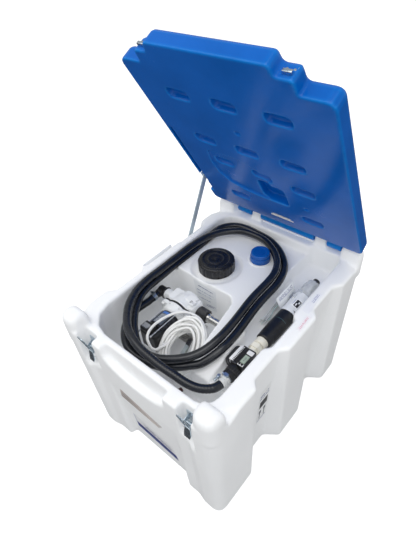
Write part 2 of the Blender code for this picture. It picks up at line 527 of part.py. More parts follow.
# ---------------------------------------------------------------- pump set
def pump():
    x, y, z = PUMP_X, PUMP_Y, PORT_Z
    mz = MOTOR_Z
    # white head with its ports along X
    head = box("pump_head", x - 62, x + 62, y - 30, y + 34, mz - 46, mz + 48, 12)
    join(head, rod("portl", 19, x - 84, x - 50, (0, y, z), "X", 20), rod("portr", 17, x + 50, x + 82, (0, y, z), "X", 20),
         rod("dome", 40, y + 20, y + 44, (x - 4, 0, mz + 2), "Y", 28), box("boss", x + 8, x + 46, y - 6, y + 26, mz + 40, mz + 58, 4))
    cut(head, rod("chamber", 33.4, y - 40, y + 22, (x, 0, mz), "Y", 28), rod("bl", 11, x - 90, x - 30, (0, y, z), "X", 16), rod("br", 11, x + 30, x + 90, (0, y, z), "X", 16))
    finish(head, "pump_white", 30)

    def plate(name, y0, y1, i, bore):
        ring = rounded([(x - 62 + i, mz - 46 + i, 16), (x + 62 - i, mz - 46 + i, 16), (x + 62 - i, mz + 48 - i, 16), (x - 62 + i, mz + 48 - i, 16)], 4)
        o = loft(name, [[(a, yy, b) for a, b in ring] for yy in (y0, y1)])
        return cut(o, rod("c", bore, y0 - 5, y1 + 5, (x, 0, mz), "Y", 28))
    finish(plate("pump_seal_band", y - 35.4, y - 30.4, 1.0, 33.4), "rubber_black", 30)
    cover = plate("pump_cover", y - 49.8, y - 35.8, 0.0, 10.4)
    join(cover, lathe("collar", [(14, y - 49), (MOTOR_R + 3, y - 49), (MOTOR_R + 3, y - 60), (MOTOR_R - 2, y - 62), (14, y - 62)], (x, 0, mz), "Y", 28))
    for dx, dz in ((-52, 38), (52, 38), (-52, -36), (52, -36)):
        join(cover, lathe("bolt", [(0, y - 56), (4.6, y - 56), (5.2, y - 55), (5.2, y - 45), (0, y - 45)], (x + dx, 0, mz + dz), "Y", 6))
    finish(cover, "pump_white", 30)
    ribs = [(0, y - 62.4)]
    for k in range(4):
        yy = y - 62.4 - k * 18
        ribs += [(MOTOR_R - 1, yy), (MOTOR_R - 1, yy - 8), (MOTOR_R - 3, yy - 10), (MOTOR_R - 3, yy - 16)]
    end = y - 62.4 - 74
    ribs += [(MOTOR_R - 1, end + 1), (MOTOR_R - 1, end), (0, end)]
    motor = lathe("motor_housing", ribs, (x, 0, mz), "Y", 24)
    cut(motor, rod("can", MOTOR_R - 9, end + 6, y - 50, (x, 0, mz), "Y", 24))
    finish(motor, "motor_black", 30)
    rotor = lathe("motor_rotor", [(0, end + 10), (5, end + 10), (5, end + 20), (27, end + 22), (27, y - 74), (5, y - 70), (5, y - 66), (9, y - 64), (9, y - 32), (5, y - 30), (5, y + 8), (0, y + 8)], (x, 0, mz), "Y", 20)
    hang(finish(rotor, "steel", 30), pivot("rotor_axis", x, y, mz), (x, y, mz))
    vane = lathe("pump_rotor", [(5.6, y - 26), (26, y - 26), (26, y + 14), (5.6, y + 14)], (x, 0, mz), "Y", 24,
                 lambda r, a, h: r - (5.5 * max(0.0, math.cos(5 * a)) ** 8 if r > 20 else 0))
    hang(finish(vane, "steel", 30), pivot("vane_axis", x, y, mz), (x, y, mz))
    # black end box with the rocker switch and the cable gland
    e = end - 0.4
    cap = box("motor_end_box", x - 38, x + 38, e - 40, e, mz - 40, mz + 38, 8)
    join(cap, box("step", x - 34, x + 12, e - 38, e - 4, mz + 34, mz + 50, 4))
    cut(cap, box("sw", x - 30, x - 4, e - 34, e - 13, mz + 39, mz + 60), rod("gl", 5, x + 30, x + 60, (0, e - 22, mz + 8), "X", 12))
    finish(cap, "plastic_black", 30)
    rocker = slab("rocker_switch", [(e - 31.6, mz + 43), (e - 15.4, mz + 43), (e - 14.4, mz + 52), (e - 23.5, mz + 49.5), (e - 32.6, mz + 53)], x - 29.4, x - 4.6)
    hang(finish(rocker, "switch_red", 20), pivot("rocker_axis", x - 17, e - 23.5, mz + 46), (x - 17, e - 23.5, mz + 46))
    # folded bracket with its screws, standing on the locker floor
    zb = BAY_Z + 0.4
    bracket = slab("pump_bracket", [(y - 52, zb), (y - 52, zb + 4), (y - 22, zb + 4), (y - 16, zb + 10), (y - 16, mz - 46.6), (y + 22, mz - 46.6), (y + 22, zb + 10), (y + 28, zb + 4), (y + 50, zb + 4), (y + 50, zb)], x - 48, x + 48)
    cut(bracket, slab("under", [(y - 12, zb - 5), (y - 12, mz - 50.6), (y + 18, mz - 50.6), (y + 18, zb - 5)], x - 60, x + 60))
    ob = bracket
    # the two feet stay joined by the seat
    for dx in (-34, 34):
        for dy in (-38, 39):
            cut(ob, rod("bh", 4.2, zb - 5, zb + 9, (x + dx, y + dy, 0), "Z", 12))
    finish(ob, "steel", 30)
    n = 0
    for dx in (-34, 34):
        for dy in (-38, 39):
            n += 1
            s = lathe("bracket_screw_%d" % n, [(0, zb + 10), (5, zb + 10), (6.4, zb + 8.5), (6.4, zb + 4.4), (3.6, zb + 4.4), (3.6, zb + 0.2), (0, zb + 0.2)], (x + dx, y + dy, 0), "Z", 12)
            finish(s, "steel", 30)
    # inlet: union nut, steel coupler through the wall, suction pipe and foot strainer in the tank
    nut = lathe("inlet_nut", [(17.6, x + 63.5), (22, x + 63.5), (24, x + 66), (24, x + 98), (21, x + 101), (12.9, x + 101), (12.9, x + 84.5), (17.6, x + 83.5)], (0, y, z), "X", 20,
                lambda r, a, h: r - (1.6 * max(0.0, math.cos(10 * a)) ** 2 if r > 23 else 0))
    finish(nut, "plastic_black", 30)
    coup = lathe("inlet_coupler", [(0, x + 85), (12.4, x + 85), (12.4, x + 102), (16, x + 104), (16, x + 112), (12.4, x + 114), (12.4, x + 192), (0, x + 192)], (0, y, z), "X", 20)
    cut(coup, rod("cb", 8, x + 70, x + 182, (0, y, z), "X", 14), rod("cb2", 6, 400, 455, (x + 182, y, 0), "Z", 12))
    finish(coup, "steel", 30)
    pipe = sweep("suction_pipe", [Vector((x + 182, y, zz)) for zz in (442.2, 300, 150, 46)], 7, 12)
    finish(pipe, "plastic_black", 50)
    st = lathe("foot_strainer", [(0, 12), (17, 12), (17, 40), (12, 45.6), (0, 45.6)], (x + 182, y, 0), "Z", 18, lambda r, a, h: r - (2 * max(0.0, math.cos(9 * a)) if r > 16 else 0))
    finish(st, "steel", 30)
    # outlet elbow with a barb for the hose
    lx = x - 84.4
    elbow = lathe("outlet_elbow", [(0, lx - 34), (17, lx - 34), (17, lx - 6), (22, lx - 4), (22, lx), (0, lx)], (0, y, z), "X", 20)
    join(elbow, rod("barb", 9.4, y - 56, y, (lx - 24, 0, z), "Y", 16), rod("ring", 15, y - 20, y, (lx - 24, 0, z), "Y", 18))
    finish(elbow, "plastic_black", 30)
    return lx - 24


def hose(ex):
    """Two turns round the locker, one under the other: meter, upper turn, channel beside the deck, lower turn, pump outlet."""
    left = OPEN_LEFT + HOSE_R + 1.0
    upper = [(198, -206, LINE_Z), (198, -222, LINE_Z), (197, -240, LINE_Z), (188, -264, 490), (163, -287, 495), (130, -300, 502), (79, -306, 511), (40, -309, 515), (5, -309, 519), (-35, -307, 523), (-78, -299, 526),
             (-127, -279, 527), (-170, -244, 527), (-203, -203, 527), (-226, -150, 527), (left, -95, 527), (left, -40, 527), (left, 30, 527), (left, 98, 527), (-230, 156, 527), (-219, 207, 527),
             (-195, 252, 527), (-164, 285, 527), (-132, 304, 527), (-84, 312, 527), (-36, 307, 527), (6, 288, 527), (44, 260, 527), (72, 226, 527), (89, 184, 527), (95, 142, 527), (96, 100, 527),
             (97, 58, 527), (100, 20, 527), (105, -20, 527), (110, -60, 527), (113, -97, 527), (114, -132, 526), (110, -166, 521), (100, -198, 514), (84, -226, 508), (64, -248, 504), (40, -267, 500),
             (18, -280, 496), (-6, -290, 493), (-32, -295, 491), (-62, -294, 489), (-94, -282, 488), (-130, -259, 488), (-160, -233, 489), (-188, -203, 491), (-210, -170, 493), (-226, -138, 494)]
    lower = [(left, -100, 495), (left, -60, 496), (left, -20, 497), (left, 20, 498.5), (left, 60, 499.5), (left, 98, 500), (left, 150, 500.3), (left, 200, 501.5), (left, 230, 504), (-233, 258, 508), (-224, 290, 513.6),
             (-205, 318, 513.6), (-178, 336, 513.6), (-136, 343, 513.6), (-84, 340, 513.6), (-32, 333, 513.6), (18, 312, 513.6), (60, 280, 513.6), (93, 240, 513.6), (112, 190, 513.6), (118.5, 143, 513.6), (119.5, 100, 513.6),
             (120.5, 58, 513.6), (123.5, 20, 513.6), (128.5, -20, 513.6), (134, -60, 513.6), (138, -97, 513.8), (139.5, -132, 514.2), (138.5, -152, 513.9), (135, -172, 509.5), (125, -196, 499), (108, -222, 486.5),
             (84, -242, 480), (62, -260, 475), (40, -274, 470), (16, -288, 466), (-12, -297, 463), (-42, -303, 462), (-76, -306, 462), (-110, -303, 463), (-143, -290, 464), (-172, -268, 464), (-196, -240, 463), (-211, -210, 461),
             (-218, -178, 459), (ex - 1, -142, 456.5), (ex, -124, PORT_Z), (ex, -108, PORT_Z), (ex, -76, PORT_Z)]
    h = sweep("hose", curve_points(upper + lower, 2), HOSE_R, 8)
    cut(h, rod("bore_a", 9.9, -122, -70, (ex, 0, PORT_Z), "Y", 14))
    cut(h, rod("bore_b", 9.9, -242, -200, (198, 0, LINE_Z), "Y", 14))
    return finish(h, "hose_black", 50)


def clamp(name, x, y, z, half=6.5):
    c = lathe(name, [(HOSE_R + 0.5, y - half), (HOSE_R + 1.9, y - half), (HOSE_R + 1.9, y + half), (HOSE_R + 0.5, y + half)], (x, 0, z), "Y", 24)
    join(c, box("housing", x - 7, x + 7, y - half + 0.5, y + half - 0.5, z + HOSE_R + 1, z + HOSE_R + 9, 1.5), rod("screw", 3.4, x - 12, x + 9, (0, y, z + HOSE_R + 5.4), "X", 10))
    return finish(c, "steel", 30)


# ---------------------------------------------------------------- meter and nozzle line, along +Y in the trough
def line():
    x, z = 198.0, LINE_Z
    clamp("hose_clamp_meter", x, -216, z)
    nut = lathe("meter_nut", [(0, -236), (9.4, -236), (9.4, -205), (20, -204), (22, -201), (22, -176), (20, -173.6), (0, -173.6)], (x, 0, z), "Y", 20, lambda r, a, h: r - (1.8 * max(0.0, math.cos(8 * a)) ** 2 if r > 21 else 0))
    finish(nut, "plastic_black", 30)
    m = box("meter_body", x - 31, x + 24, -173, -116, z - 30, z + 24, 8)
    join(m, rod("spig", 17, -178 + 5, -104, (x, 0, z), "Y", 20))
    for k in range(7):
        join(m, box("rib", x - 22, x - 1, -168 + k * 7.4, -164.5 + k * 7.4, z + 22, z + 27))
    cut(m, box("lcdwell", x + 2, x + 20, -160, -128, z + 21, z + 40), box("bw1", x + 4.4, x + 11.6, -171.6 + 1.5, -162.4, z + 18, z + 40), box("bw2", x + 12.9, x + 20.1, -171.6 + 1.5, -162.4, z + 18, z + 40))
    finish(m, "plastic_black", 30)
    finish(box("meter_lens", x + 2.4, x + 19.6, -159.6, -128.4, z + 21.4, z + 24.6), "lens_grey", 20)
    for nm, x0 in (("left", x + 4.8), ("right", x + 13.3)):
        b = box("meter_button_%s" % nm, x0, x0 + 6.4, -169.6, -162.9, z + 20.5, z + 26.5, 1.2)
        hang(finish(b, "button_grey", 30), pivot("button_%s_axis" % nm, x0 + 3.2, -166.3, z + 24), (x0 + 3.2, -166.3, z + 24))
    a = lathe("adapter_inlet", [(0, -103.6), (16, -103.6), (16, -92), (21, -91.5), (21, -76), (17, -75.5), (17, -70.4), (0, -70.4)], (x + 4, 0, z), "Y", 6)
    finish(a, "adapter_cream", 20)
    b = lathe("adapter_swivel", [(0, -70), (18, -70), (20, -68), (20, -48), (15, -46), (15, -32), (0, -32)], (x + 6, 0, z), "Y", 20)
    finish(b, "adapter_cream", 30)
    nx = x + 8
    body = lathe("nozzle_body", [(0, -31.6), (22, -31.6), (27, -28), (28, 10), (27, 60), (28, 92), (24, 98), (20, 104), (20, 128), (0, 128)], (nx, 0, z), "Y", 24)
    join(body, box("root", nx - 9, nx + 9, -16, 4, z - 35, z - 20, 3))
    cut(body, box("trigwell", nx - 5.4, nx + 5.4, 8, 66, z - 40, z - 19))
    finish(body, "nozzle_black", 30)
    t = slab("nozzle_trigger", [(62, z - 20.5), (58, z - 20), (30, z - 30.5), (14, z - 33.5), (14, z - 36.6), (34, z - 34), (60, z - 27)], nx - 4.6, nx + 4.6)
    hang(finish(t, "steel", 20), pivot("trigger_axis", nx, 60, z - 24), (nx, 60, z - 24))
    g = sweep("spout_pipe", [Vector(p) for p in ((nx, 128.6, z), (nx, 150, z), (nx, 190, z + 1), (nx, 236, z + 4), (nx, 262, z + 5))], 12.5, 14)
    finish(g, "steel", 50)


def cable():
    """White two-core cable: a hank of loops leaning beside the motor, with one wide loop thrown over it."""
    c = Vector((2, -184, 436))
    u, w = Vector((0.728, 0.685, 0)), Vector((-0.42, 0.60, 0.68)).normalized()
    n = u.cross(w).normalized()
    x = PUMP_X + 38.6
    pts = [Vector((x, PUMP_Y - 158.8, MOTOR_Z + 8)), Vector((x + 10, PUMP_Y - 160, MOTOR_Z + 8))]
    turns, per = 7, 12
    for i in range(turns * per + 1):
        a = math.radians(190) + 2 * math.pi * i / per
        k = i / per
        r = 1.0 + 0.05 * math.sin(2.3 * k + 0.7)
        pts.append(c + u * (54 * r * math.cos(a)) + w * (74 * r * math.sin(a)) + n * (3.4 * k - 13))
    pts += [Vector(p) for p in CABLE_LOOP]
    return finish(sweep("power_cable", curve_points(pts, 1), 3.4, 5), "cable_white", 60)


def clip(name, x, y, z, ang, mat):
    """Battery clip: two jaws on one pin. The lower jaw is fixed, the upper one opens."""
    rot = Matrix.Translation(Vector((x, y, z)) * MM) @ Matrix.Rotation(math.radians(ang), 4, "Z") @ Matrix.Translation(Vector((-x, -y, -z)) * MM)
    low = slab("clip_%s_jaw_fixed" % name, [(y - 34, z - 9), (y - 34, z - 12.5), (y - 4, z - 6), (y + 26, z - 5), (y + 31, z - 2.5), (y + 30, z - 0.4), (y - 4, z - 1)], x - 6, x + 6)
    up = slab("clip_%s_jaw" % name, [(y - 34, z + 9), (y - 34, z + 12.5), (y - 4, z + 6), (y + 26, z + 5), (y + 31, z + 2.5), (y + 30, z + 0.4), (y - 4, z + 1)], x - 6, x + 6)
    for o in (low, up):
        o.data.transform(rot)
        finish(o, mat, 20)
    hang(up, pivot("clip_%s_axis" % name, x, y, z), (x, y, z))


def pouch():
    o = hull("document_pouch", [(x, y, z) for y in (22, 208) for x, z in ((119, 452), (168, 452), (137, 492), (123, 492))])
    return finish(o, "pouch_clear", 20)


# ---------------------------------------------------------------- build
def build():
    clear()
    material("tank_white", (0.86, 0.87, 0.88), 0.42)
    material("lid_blue", (0.012, 0.16, 0.46), 0.3)
    material("zinc", (0.62, 0.66, 0.7), 0.32, 1.0)
    material("steel", (0.6, 0.6, 0.6), 0.28, 1.0)
    material("cap_black", (0.012, 0.013, 0.014), 0.42)
    material("cap_blue", (0.0, 0.07, 0.37), 0.35)
    material("rubber_black", (0.015, 0.015, 0.016), 0.7)
    material("pump_white", (0.82, 0.84, 0.83), 0.4)
    material("motor_black", (0.02, 0.02, 0.022), 0.45)
    material("plastic_black", (0.018, 0.018, 0.02), 0.45)
    material("switch_red", (0.5, 0.02, 0.02), 0.35)
    material("hose_black", (0.016, 0.018, 0.02), 0.35)
    material("lens_grey", (0.35, 0.4, 0.34), 0.1)
    material("button_grey", (0.35, 0.36, 0.37), 0.5)
    material("adapter_cream", (0.8, 0.77, 0.66), 0.45)
    material("nozzle_black", (0.015, 0.016, 0.018), 0.4)
    material("cable_white", (0.82, 0.82, 0.8), 0.45)
    material("clip_red", (0.55, 0.02, 0.02), 0.4)
    material("pouch_clear", (0.75, 0.8, 0.8), 0.12, 0.0, 0.4)

    tank_body()
    shell = lid()
    lid_axis = pivot("lid_axis", 0, HINGE_Y, HINGE_Z, -LID_OPEN)
    at = (0, HINGE_Y, HINGE_Z)
    hang(shell, lid_axis, at)
    for side, sx in (("left", -1), ("right", 1)):
        hang(catch("lid_catch_" + side, sx), lid_axis, at)
        latch(side, sx)
    finish(rod("hinge_pin", PIN_R, -260, 260, (0, HINGE_Y, HINGE_Z), "X", 16), "steel", 30)

    # the stay, its lug on the lid and its rest on the tank
    lug = box("stay_lug", -301.5, -292.6, STAY_Y - 14, STAY_Y + 26, STAY_Z - 5, STAY_Z + 22, 2.5)
    join(lug, rod("stud", 3.0, -293.5, -283.4, (0, STAY_Y, STAY_Z), "X", 14))
    hang(finish(lug, "lug_white" if "lug_white" in MATS else "zinc", 30), lid_axis, at)
    rel = Matrix.Rotation(math.radians(-LID_OPEN), 2) @ Vector((STAY_Y - HINGE_Y, STAY_Z - HINGE_Z))
    p = Vector((HINGE_Y + rel.x, HINGE_Z + rel.y))
    e = Vector(STAY_END)
    d = (e - p).normalized()
    n = Vector((-d.y, d.x))
    r = STAY_W / 2
    arc = [math.pi * k / 8 for k in range(9)]
    prof = [p + n * r * math.cos(a) - d * r * math.sin(a) for a in arc] + [e - n * r * math.cos(a) + d * r * math.sin(a) for a in arc]
    bar = slab("stay_bar", [(v.x, v.y) for v in prof], STAY_X - STAY_T / 2, STAY_X + STAY_T / 2)
    cut(bar, rod("hole", 3.5, -300, -280, (0, p.x, p.y), "X", 14))
    hang(finish(bar, "zinc", 30), pivot("stay_axis", STAY_X, p.x, p.y), (STAY_X, p.x, p.y))
    rest = slab("stay_rest", [(150, 489.4), (150, 470), (160, 458), (184, 458), (194, 470), (194, 489.4)], -296, -275.6)
    finish(rest, "zinc", 20)

    caps()
    ex = pump()
    hose(ex)
    clamp("hose_clamp_pump", ex, -96, PORT_Z)
    line()
    cable()
    clip("black", 17, -184, 452, 20, "plastic_black")
    clip("red", 40, -285, 338, -15, "clip_red")
    pouch()


build()
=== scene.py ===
import bpy, bmesh, json, math, random
from mathutils import Matrix, Vector
import numpy as np

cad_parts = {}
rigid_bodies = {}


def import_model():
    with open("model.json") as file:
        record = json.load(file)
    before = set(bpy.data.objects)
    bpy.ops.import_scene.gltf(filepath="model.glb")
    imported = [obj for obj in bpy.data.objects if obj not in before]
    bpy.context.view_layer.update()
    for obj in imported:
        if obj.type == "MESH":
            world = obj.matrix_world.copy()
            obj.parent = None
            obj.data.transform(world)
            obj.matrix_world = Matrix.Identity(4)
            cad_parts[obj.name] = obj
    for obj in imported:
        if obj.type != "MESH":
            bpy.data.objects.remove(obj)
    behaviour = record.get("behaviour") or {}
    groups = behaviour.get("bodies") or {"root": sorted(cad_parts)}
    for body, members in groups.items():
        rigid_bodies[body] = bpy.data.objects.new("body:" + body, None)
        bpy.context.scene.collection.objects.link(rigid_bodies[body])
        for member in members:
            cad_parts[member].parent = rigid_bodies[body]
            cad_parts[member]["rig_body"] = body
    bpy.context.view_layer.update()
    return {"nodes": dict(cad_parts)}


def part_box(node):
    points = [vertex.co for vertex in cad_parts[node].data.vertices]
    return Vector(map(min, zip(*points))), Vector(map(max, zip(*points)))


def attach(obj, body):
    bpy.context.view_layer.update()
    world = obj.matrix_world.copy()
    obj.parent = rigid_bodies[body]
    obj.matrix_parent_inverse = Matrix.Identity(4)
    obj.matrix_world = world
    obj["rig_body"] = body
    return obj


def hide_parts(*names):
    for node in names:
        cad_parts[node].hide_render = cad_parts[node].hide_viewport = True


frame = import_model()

NODES = frame["nodes"]
random.seed(7)
MM = 0.001

# ------------------------------------------------------------------ materials
MATS = {}


def new_mat(name):
    m = bpy.data.materials.new(name)
    m.use_nodes = True
    nt = m.node_tree
    for n in list(nt.nodes):
        nt.nodes.remove(n)
    out = nt.nodes.new("ShaderNodeOutputMaterial")
    b = nt.nodes.new("ShaderNodeBsdfPrincipled")
    nt.links.new(b.outputs[0], out.inputs[0])
    MATS[name] = m
    return m, nt, b


def node(nt, kind, **kw):
    n = nt.nodes.new(kind)
    for k, v in kw.items():
        if k.startswith("in_"):
            key = k[3:]
            n.inputs[int(key) if key.isdigit() else key.replace("_", " ")].default_value = v
        else:
            setattr(n, k, v)
    return n


def coords(nt, scale=(1, 1, 1)):
    tc = node(nt, "ShaderNodeTexCoord")
    mp = node(nt, "ShaderNodeMapping")
    mp.inputs["Scale"].default_value = scale
    nt.links.new(tc.outputs["Object"], mp.inputs[0])
    return mp.outputs[0]


def noise(nt, vec, scale, detail=4, rough=0.55):
    n = node(nt, "ShaderNodeTexNoise")
    n.inputs["Scale"].default_value = scale
    n.inputs["Detail"].default_value = detail
    n.inputs["Roughness"].default_value = rough
    nt.links.new(vec, n.inputs["Vector"])
    return n.outputs["Fac"]


def ramp(nt, fac, stops):
    r = node(nt, "ShaderNodeValToRGB")
    cr = r.color_ramp
    while len(cr.elements) < len(stops):
        cr.elements.new(0.5)
    for e, (p, c) in zip(cr.elements, stops):
        e.position = p
        e.color = (*c, 1) if len(c) == 3 else c
    nt.links.new(fac, r.inputs[0])
    return r.outputs[0]


def mixc(nt, fac, a, b, blend="MIX"):
    m = node(nt, "ShaderNodeMix", data_type="RGBA", blend_type=blend)
    if isinstance(fac, (int, float)):
        m.inputs[0].default_value = fac
    else:
        nt.links.new(fac, m.inputs[0])
    for sock, v in ((m.inputs[6], a), (m.inputs[7], b)):
        if isinstance(v, tuple):
            sock.default_value = (*v, 1) if len(v) == 3 else v
        else:
            nt.links.new(v, sock)
    return m.outputs[2]


def mathn(nt, op, a, b=0.5, clamp=False):
    m = node(nt, "ShaderNodeMath", operation=op, use_clamp=clamp)
    for i, v in ((0, a), (1, b)):
        if isinstance(v, (int, float)):
            m.inputs[i].default_value = v
        else:
            nt.links.new(v, m.inputs[i])
    return m.outputs[0]


def plastic(name, base, rough=0.4, vary=0.06, grain=900, grain_amp=0.02, blotch=9, edge=0.0, edge_highlight_col=None, metal=0.0,
            coat=0.0, sss=0.0, sss_r=(0.01, 0.01, 0.012), aniso=0.0, stretch=(1, 1, 1), ior=1.5, spec=0.5, dust=0.0, bump2=(0, 0), painted_glow=0.0):
    """Moulded or plated surface: blotchy colour, fine grain in the bump and roughness, and a painted highlight that
    makes convex edges paler or brighter.
    """
    m, nt, b = new_mat(name)
    v = coords(nt, stretch)
    big = noise(nt, v, blotch, 5)
    fine = noise(nt, v, grain, 3, 0.6)
    lo = tuple(max(0.0, c * (1 - vary)) for c in base)
    hi = tuple(min(1.0, c * (1 + vary) + vary * 0.01) for c in base)
    col = ramp(nt, big, [(0.3, lo), (0.7, hi)])
    # painted highlight: convex edges found by pointiness are mixed towards a brighter edge colour, broken up by noise
    if edge > 0:
        geo = node(nt, "ShaderNodeNewGeometry")
        pt = ramp(nt, geo.outputs["Pointiness"], [(0.5, (0, 0, 0)), (0.5 + 0.08, (1, 1, 1))])
        highlight_col = edge_highlight_col or tuple(min(1.0, c * 1.6 + 0.03) for c in base)
        k = mathn(nt, "MULTIPLY", pt, edge, True)
        k = mathn(nt, "MULTIPLY", k, mathn(nt, "ADD", noise(nt, v, 60, 4), 0.35), True)
        col = mixc(nt, k, col, highlight_col)
    if dust > 0:
        d = noise(nt, v, 35, 6, 0.7)
        dm = ramp(nt, d, [(0.55, (0, 0, 0)), (0.8, (1, 1, 1))])
        col = mixc(nt, mathn(nt, "MULTIPLY", dm, dust, True), col, (0.45, 0.45, 0.44))
    nt.links.new(col, b.inputs["Base Color"])
    rr = mathn(nt, "ADD", mathn(nt, "MULTIPLY", mathn(nt, "SUBTRACT", big, 0.5), 0.25), rough)
    rr = mathn(nt, "ADD", rr, mathn(nt, "MULTIPLY", mathn(nt, "SUBTRACT", fine, 0.5), 0.12), True)
    nt.links.new(rr, b.inputs["Roughness"])
    b.inputs["Metallic"].default_value = metal
    b.inputs["IOR"].default_value = ior
    b.inputs["Specular IOR Level"].default_value = spec
    if aniso:
        b.inputs["Anisotropic"].default_value = aniso
    if coat:
        b.inputs["Coat Weight"].default_value = coat
        b.inputs["Coat Roughness"].default_value = 0.12
    if painted_glow:  # painted glow: emission in the base colour stands in for light scattered through the thin translucent wall
        nt.links.new(col, b.inputs["Emission Color"])
        b.inputs["Emission Strength"].default_value = painted_glow
    if sss:
        b.inputs["Subsurface Weight"].default_value = sss
        b.inputs["Subsurface Radius"].default_value = (1, 1, 1)
        b.inputs["Subsurface Scale"].default_value = sss_r[0]
    bp = node(nt, "ShaderNodeBump")
    bp.inputs["Strength"].default_value = min(1.0, grain_amp * 10)
    bp.inputs["Distance"].default_value = 0.0004
    h = fine
    if bump2[0]:
        h = mathn(nt, "ADD", fine, mathn(nt, "MULTIPLY", noise(nt, v, bump2[0], 2), bump2[1]))
    nt.links.new(h, bp.inputs["Height"])
    nt.links.new(bp.outputs[0], b.inputs["Normal"])
    return m


def make_materials():
    # the edge weights and edge colours below paint a highlight along convex edges of each material
    plastic("tank_white", (0.885, 0.895, 0.905), 0.42, 0.015, 420, 0.012, 5, edge=0.3, edge_highlight_col=(0.94, 0.945, 0.95), sss=0.15, sss_r=(0.012,) * 3, bump2=(70, 1.2), dust=0.012, spec=0.30, painted_glow=0.07)
    plastic("lid_blue", (0.0, 0.112, 0.49), 0.22, 0.10, 380, 0.012, 6, edge=0.75, edge_highlight_col=(0.01, 0.34, 0.88), bump2=(45, 1.2), dust=0.0, spec=0.22)
    plastic("zinc", (0.42, 0.53, 0.62), 0.26, 0.25, 500, 0.03, 90, edge=0.5, edge_highlight_col=(0.85, 0.9, 0.93), metal=1.0, aniso=0.3)
    plastic("stay_grey", (0.46, 0.56, 0.62), 0.42, 0.10, 500, 0.03, 40, edge=0.5, edge_highlight_col=(0.7, 0.78, 0.82), metal=0.35)
    plastic("steel", (0.60, 0.59, 0.56), 0.26, 0.10, 700, 0.02, 70, edge=0.4, edge_highlight_col=(0.85, 0.85, 0.85), metal=1.0, aniso=0.4)
    plastic("screw_blue", (0.42, 0.50, 0.60), 0.3, 0.2, 600, 0.03, 120, edge=0.5, edge_highlight_col=(0.8, 0.86, 0.9), metal=1.0)
    plastic("cuff_pale", (0.70, 0.71, 0.70), 0.30, 0.06, 500, 0.03, 60, edge=0.4, edge_highlight_col=(0.9, 0.9, 0.9), metal=0.2)
    plastic("cap_black", (0.007, 0.007, 0.009), 0.28, 0.25, 700, 0.04, 30, edge=0.45, edge_highlight_col=(0.05, 0.05, 0.055), dust=0.06)
    plastic("cap_blue", (0.0, 0.085, 0.40), 0.34, 0.10, 700, 0.03, 30, edge=0.5, edge_highlight_col=(0.0, 0.2, 0.62), dust=0.02)
    plastic("rubber_black", (0.012, 0.012, 0.013), 0.6, 0.2, 900, 0.05, 40, edge=0.3, edge_highlight_col=(0.05, 0.05, 0.05), dust=0.08)
    plastic("pump_white", (0.86, 0.875, 0.885), 0.38, 0.04, 900, 0.03, 25, edge=0.4, edge_highlight_col=(0.9, 0.9, 0.9), sss=0.1, sss_r=(0.003,) * 3, dust=0.04)
    plastic("motor_black", (0.013, 0.014, 0.018), 0.30, 0.2, 1200, 0.05, 40, edge=0.5, edge_highlight_col=(0.07, 0.07, 0.08), coat=0.15, dust=0.04)
    plastic("plastic_black", (0.010, 0.0105, 0.012), 0.38, 0.2, 1100, 0.05, 40, edge=0.5, edge_highlight_col=(0.06, 0.06, 0.065), dust=0.05)
    plastic("switch_grey", (0.22, 0.23, 0.25), 0.35, 0.12, 900, 0.03, 40, edge=0.4)
    plastic("hose_black", (0.009, 0.011, 0.016), 0.24, 0.2, 1500, 0.03, 14, coat=0.35, dust=0.02)
    plastic("lens_grey", (0.30, 0.37, 0.29), 0.10, 0.05, 400, 0.005, 20, coat=0.6)
    plastic("button_grey", (0.55, 0.56, 0.57), 0.45, 0.1, 1200, 0.05, 60, edge=0.3)
    plastic("panel_white", (0.74, 0.75, 0.76), 0.38, 0.04, 900, 0.03, 60, edge=0.3)
    plastic("adapter_cream", (0.80, 0.775, 0.67), 0.38, 0.05, 900, 0.03, 30, edge=0.4, edge_highlight_col=(0.9, 0.88, 0.8), sss=0.15, sss_r=(0.004,) * 3)
    plastic("nozzle_black", (0.008, 0.009, 0.012), 0.33, 0.25, 1100, 0.05, 30, edge=0.35, edge_highlight_col=(0.05, 0.05, 0.056), dust=0.04)
    plastic("seam_teal", (0.06, 0.12, 0.13), 0.4, 0.2, 1100, 0.05, 30)
    plastic("cable_white", (0.92, 0.92, 0.905), 0.34, 0.03, 1300, 0.02, 30, sss=0.12, sss_r=(0.002,) * 3, dust=0.02)
    plastic("clip_red", (0.05, 0.006, 0.006), 0.3, 0.1, 900, 0.03, 40, edge=0.4)
    plastic("lug_pale", (0.30, 0.50, 0.80), 0.32, 0.06, 700, 0.03, 30, edge=0.5, edge_highlight_col=(0.75, 0.86, 0.95))
    plastic("pouch_edge", (0.45, 0.66, 0.66), 0.35, 0.08, 600, 0.02, 40)
    plastic("sleeve_paper", (0.80, 0.82, 0.84), 0.5, 0.03, 500, 0.03, 40)
    clip_mat("clip_grip", -0.180, 1)
    film("pouch_film", (0.95, 0.985, 0.99), 0.68)
    film("bag_film", (0.92, 0.95, 0.97), 0.55)
    plastic("slot_pale", (0.80, 0.80, 0.79), 0.5, 0.05, 500, 0.02, 14)
    plastic("stripe_brown", (0.42, 0.34, 0.30), 0.5, 0.35, 500, 0.02, 14)
    plastic("label_dark", (0.015, 0.015, 0.02), 0.4, 0.2, 500, 0.02, 40)
    plastic("strip_bright", (0.75, 0.77, 0.80), 0.25, 0.05, 500, 0.02, 60, metal=0.6)


